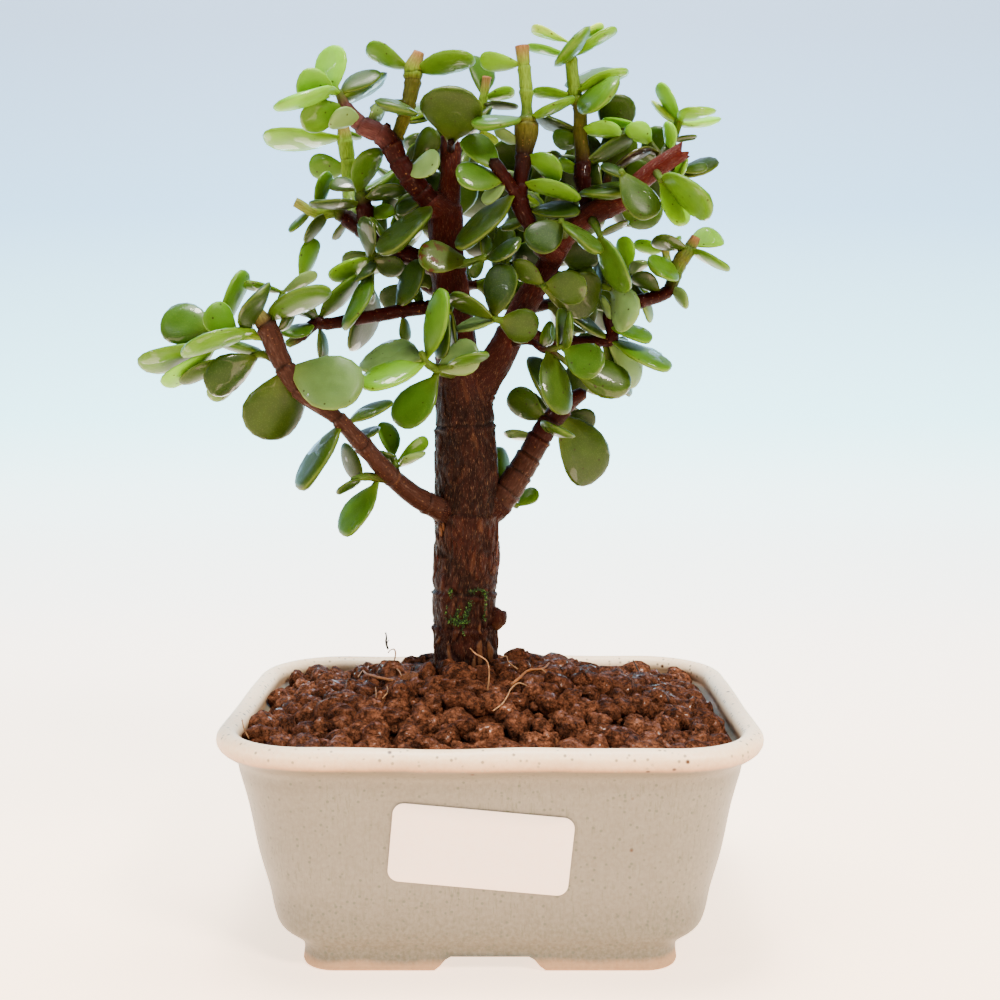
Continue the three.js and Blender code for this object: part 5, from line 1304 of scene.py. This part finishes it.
def blades(leaves):
    """Plump blades: at each share of the length an oval across it, cupped toward the upper face,
    with the whole arched along its length, swayed to one side and twisted a little."""
    root, base, tip, side, width, axis = (np.array([leaf[k] for leaf in leaves]) for k in range(6))
    count = len(leaves)
    seed = np.arange(count) + 0.37 * width
    length = np.linalg.norm(tip - base, axis=1)
    along = (tip - base) / length[:, None]
    face = np.cross(along, side)
    flip = np.where((face * axis).sum(1) < 0, -1.0, 1.0)[:, None]
    face, side = face * flip, side * flip
    plump = np.clip(0.29 * width, 2.2, 3.9) / 2
    share = RING_SHARE[None, :]
    widest, taper = 0.56 + 0.11 * draw(seed + 2), 0.82 + 0.3 * draw(seed + 3)
    wide = outline(share, widest[:, None], taper[:, None])
    half = wide * width[:, None] / 2 * 1.12
    thick = plump[:, None] * np.minimum(1, wide * 1.35) ** 0.75
    stalk = np.minimum(plump, 0.55)[:, None]
    first = share == 0
    half = np.where(first, stalk, half)
    thick = np.where(first, stalk, thick)
    bow = length[:, None] * (share**2 - share)
    arch = (draw(seed) * 0.1 - 0.035)[:, None] * bow
    sway = (draw(seed + 11) * 0.16 - 0.08)[:, None] * bow
    middle = base[:, None] + (tip - base)[:, None] * share[..., None]
    middle = np.where(first[..., None], (root - along * ROOT_SINK)[:, None], middle)
    middle = middle - face[:, None] * arch[..., None] + side[:, None] * sway[..., None]
    twist = ((draw(seed + 7) - 0.5) * 0.8)[:, None, None] * (share[..., None] - 0.2)
    across = side[:, None] * np.cos(twist) + face[:, None] * np.sin(twist)
    upward = face[:, None] * np.cos(twist) - side[:, None] * np.sin(twist)
    x = np.cos(RING_TURN) * half[..., None]
    cup = (draw(seed + 5) * 0.24 - 0.04)[:, None, None]
    z = np.sin(RING_TURN) * thick[..., None] * np.where(np.sin(RING_TURN) > 0, 0.75, 1.0)
    z = z + cup * x**2 / np.maximum(half[..., None], 0.1) * wide[..., None]
    rings = middle[:, :, None] + across[:, :, None] * x[..., None] + upward[:, :, None] * z[..., None]
    ends = np.stack([middle[:, 0], tip], 1)
    points = np.concatenate([rings.reshape(count, -1, 3), ends], 1)
    rows, columns = len(RING_SHARE), len(RING_TURN)
    faces = [net(rows, columns), *caps(rows, columns, rows * columns, rows * columns + 1)]
    rim = np.abs(np.cos(RING_TURN))[None, :] ** 3 * np.ones((rows, 1))
    rim = np.maximum(rim, np.clip((RING_SHARE[:, None] - 0.9) / 0.09, 0, 1) * 0.9)
    rim = np.tile(with_ends(rim, 0, 1), count)
    stretch = np.tile(with_ends(np.tile(RING_SHARE[:, None], columns), 0, 1), count)
    size = points.shape[1]
    return points.reshape(-1, 3), copies(faces, count, size), rim, stretch, size


waxy_leaf, tree, shader, place = new_finish("waxy_leaf_skin")
# Waxy leaf skin over water-filled flesh: a satin gloss, a little light carried through, a paler
# rim that is partly the leaf's margin and partly a painted highlight on its rounded edge, pinprick
# pores, here and there a brown speck of 0.6 mm, and films of water 4 to 8 mm across that catch
# the lamps.
tint = add(tree, "Attribute", attribute_name="tint").outputs["Color"]
rim = add(tree, "Attribute", attribute_name="rim").outputs["Fac"]
mark = add(tree, "Attribute", attribute_name="blotch").outputs["Fac"]
cloud = add(tree, "TexNoise", {"Vector": place, "Scale": 190.0, "Detail": 3.0})
pore = add(tree, "TexVoronoi", {"Vector": place, "Scale": 2300.0})
shade = add(tree, "MapRange", {0: cloud, 1: 0.3, 2: 0.7, 3: 0.84, 4: 1.14})
clouded = add(tree, "VectorMath", {0: tint, 1: shade}, operation="MULTIPLY")
pored = add(tree, "MapRange", {0: pore.outputs["Distance"], 1: 0.1, 2: 0.4, 3: 0.07, 4: 0.0})
bloom = add(tree, "Mix", {0: pored, 6: clouded, 7: "#8aa158"})
# Partly painted highlight: the blade's edges and tip are paled by up to 0.22 toward a light green,
# together with the leaf's own paler margin.
rim_and_painted_highlight = add(tree, "MapRange", {0: rim, 1: 0.8, 4: 0.22})
rimmed = add(tree, "Mix", {0: rim_and_painted_highlight, 6: bloom, 7: "#7d9434"})
speck = add(tree, "TexVoronoi", {"Vector": place, "Scale": 400.0})
speck_kind = add(tree, "SeparateXYZ", {0: speck.outputs["Color"]})
speck_some = add(tree, "Math", {0: speck_kind, 1: 0.45}, operation="GREATER_THAN")
speck_dot = add(tree, "MapRange", {0: speck.outputs["Distance"], 1: 0.15, 2: 0.1, 4: 0.85})
speck_on = add(tree, "Math", {0: speck_some, 1: speck_dot}, operation="MULTIPLY")
specked = add(tree, "Mix", {0: speck_on, 6: rimmed, 7: "#22180a"})
scab = add(tree, "TexNoise", {"Vector": place, "Scale": 420.0, "Detail": 4.0, "Roughness": 0.6})
scab_on = add(tree, "MapRange", {0: scab, 1: 0.55, 2: 0.6})
scab_share = add(tree, "Math", {0: scab_on, 1: mark}, operation="MULTIPLY")
scabbed = add(tree, "Mix", {0: scab_share, 6: specked, 7: "#3a1c0a"})
gloss = add(tree, "MapRange", {0: cloud, 1: 0.3, 2: 0.7, 3: 0.32, 4: 0.46})
film = add(tree, "TexNoise", {"Vector": place, "Scale": 120.0, "Detail": 1.0})
wet = add(tree, "MapRange", {0: film, 1: 0.575, 2: 0.6})
skin_bump = add(tree, "Bump", {"Height": pore.outputs["Distance"], "Strength": 0.08, "Distance": 0.0002})
swell = add(tree, "Bump", {"Height": cloud, "Strength": 0.15, "Distance": 0.001, "Normal": skin_bump})
brim = add(tree, "Bump", {"Height": wet, "Strength": 0.5, "Distance": 0.0002, "Normal": swell})
feed(shader, {
    "Base Color": scabbed, "Roughness": gloss, "Specular IOR Level": 0.13, "Coat Weight": wet,
    "Coat Roughness": 0.06, "Coat IOR": 1.33, "Subsurface Weight": 0.1,
    "Subsurface Radius": (0.5, 1.0, 0.15), "Subsurface Scale": 0.0015, "Normal": swell,
    "Coat Normal": brim,
})

for name, _, _ in branches:
    own = [(tone, leaf) for branch, tone, leaf in placed if branch == name]
    points, faces, rim, stretch, size = blades([leaf for _, leaf in own])
    tones = np.array([linear(LEAF_TONES[tone]) for tone, _ in own])
    tones[:, :3] *= (0.88 + 0.24 * draw(np.arange(len(own)) + 1.7 * len(name)))[:, None]
    tint = np.repeat(tones, size, 0)
    warm = np.clip(1 - stretch / 0.3, 0, 1)[:, None] * 0.3
    tint = tint * (1 - warm) + np.array(linear("#5d6a18")) * warm
    blotched = np.repeat([float(tone == "b") for tone, _ in own], size)
    blotch = blotched * np.clip((stretch - 0.3) / 0.35, 0, 1)
    put(
        name + "_leaves", points, faces, waxy_leaf, "jade_foliage", [name],
        tint=tint, rim=rim, blotch=blotch,
    )


# ------------------------------------------------------------------ label
# A blank sticker of coated paper with rounded corners, stuck on the front of the pot a little
# askew, and a quarter of a millimetre thick.

LABEL_WIDTH, LABEL_HEIGHT, LABEL_CORNER, LABEL_TILT = 47.5, 21.8, 3.0, np.radians(5.5)
LABEL_ACROSS, LABEL_UP = -2.3, 35.1


def front_wall(z):
    """Depth of the pot's front at a height."""
    front = np.array(OUTER_WALL)
    return -np.interp(z, front[:, 0], front[:, 2])


half = np.array([LABEL_WIDTH, LABEL_HEIGHT]) / 2
corners = []
for k, signs in enumerate(CORNERS):
    turn = np.linspace(0, np.pi / 2, 9) + k * np.pi / 2
    rounded = LABEL_CORNER * np.stack([np.cos(turn), np.sin(turn)], -1)
    corners.append(signs * (half - LABEL_CORNER) + rounded)
corners = np.concatenate(corners)
# The sticker's layers: its size there, and its height over the wall.
layers = [(1.0, 0.0), (1.0, 0.16), (0.994, 0.22), (0.6, 0.24), (0.2, 0.24)]
flat = np.stack([np.column_stack([corners * size, np.full(len(corners), rise)]) for size, rise in layers])
cos, sin = np.cos(-LABEL_TILT), np.sin(-LABEL_TILT)
x, y = flat[..., 0] * cos - flat[..., 1] * sin, flat[..., 0] * sin + flat[..., 1] * cos
low, high = LABEL_UP - half[1], LABEL_UP + half[1]
slope = np.arctan2(front_wall(low) - front_wall(high), high - low)
tip = np.pi / 2 + slope
sticker = np.stack([
    x + LABEL_ACROSS,
    y * np.cos(tip) - flat[..., 2] * np.sin(tip) + front_wall(LABEL_UP) - 0.3,
    y * np.sin(tip) + flat[..., 2] * np.cos(tip) + LABEL_UP,
], -1)
points, faces = closed(sticker, np.array([[0, -1.0, 0]]), 0.0)

coated_paper, tree, shader, place = new_finish("coated_sticker_paper")
# Coated paper: smooth, faintly warm white with a soft even gloss and hardly visible fibres.
fibre = add(tree, "TexNoise", {"Vector": place, "Scale": 600.0, "Detail": 4.0})
white = add(tree, "Mix", {0: fibre, 6: "#ffeadb", 7: "#fff3ea"})
paper_grain = add(tree, "Bump", {"Height": fibre, "Strength": 0.05, "Distance": 0.0001})
feed(shader, {"Base Color": white, "Roughness": 0.42, "Normal": paper_grain})
put("blank_sticker", points, faces, coated_paper, "blank_sticker", ["label"])
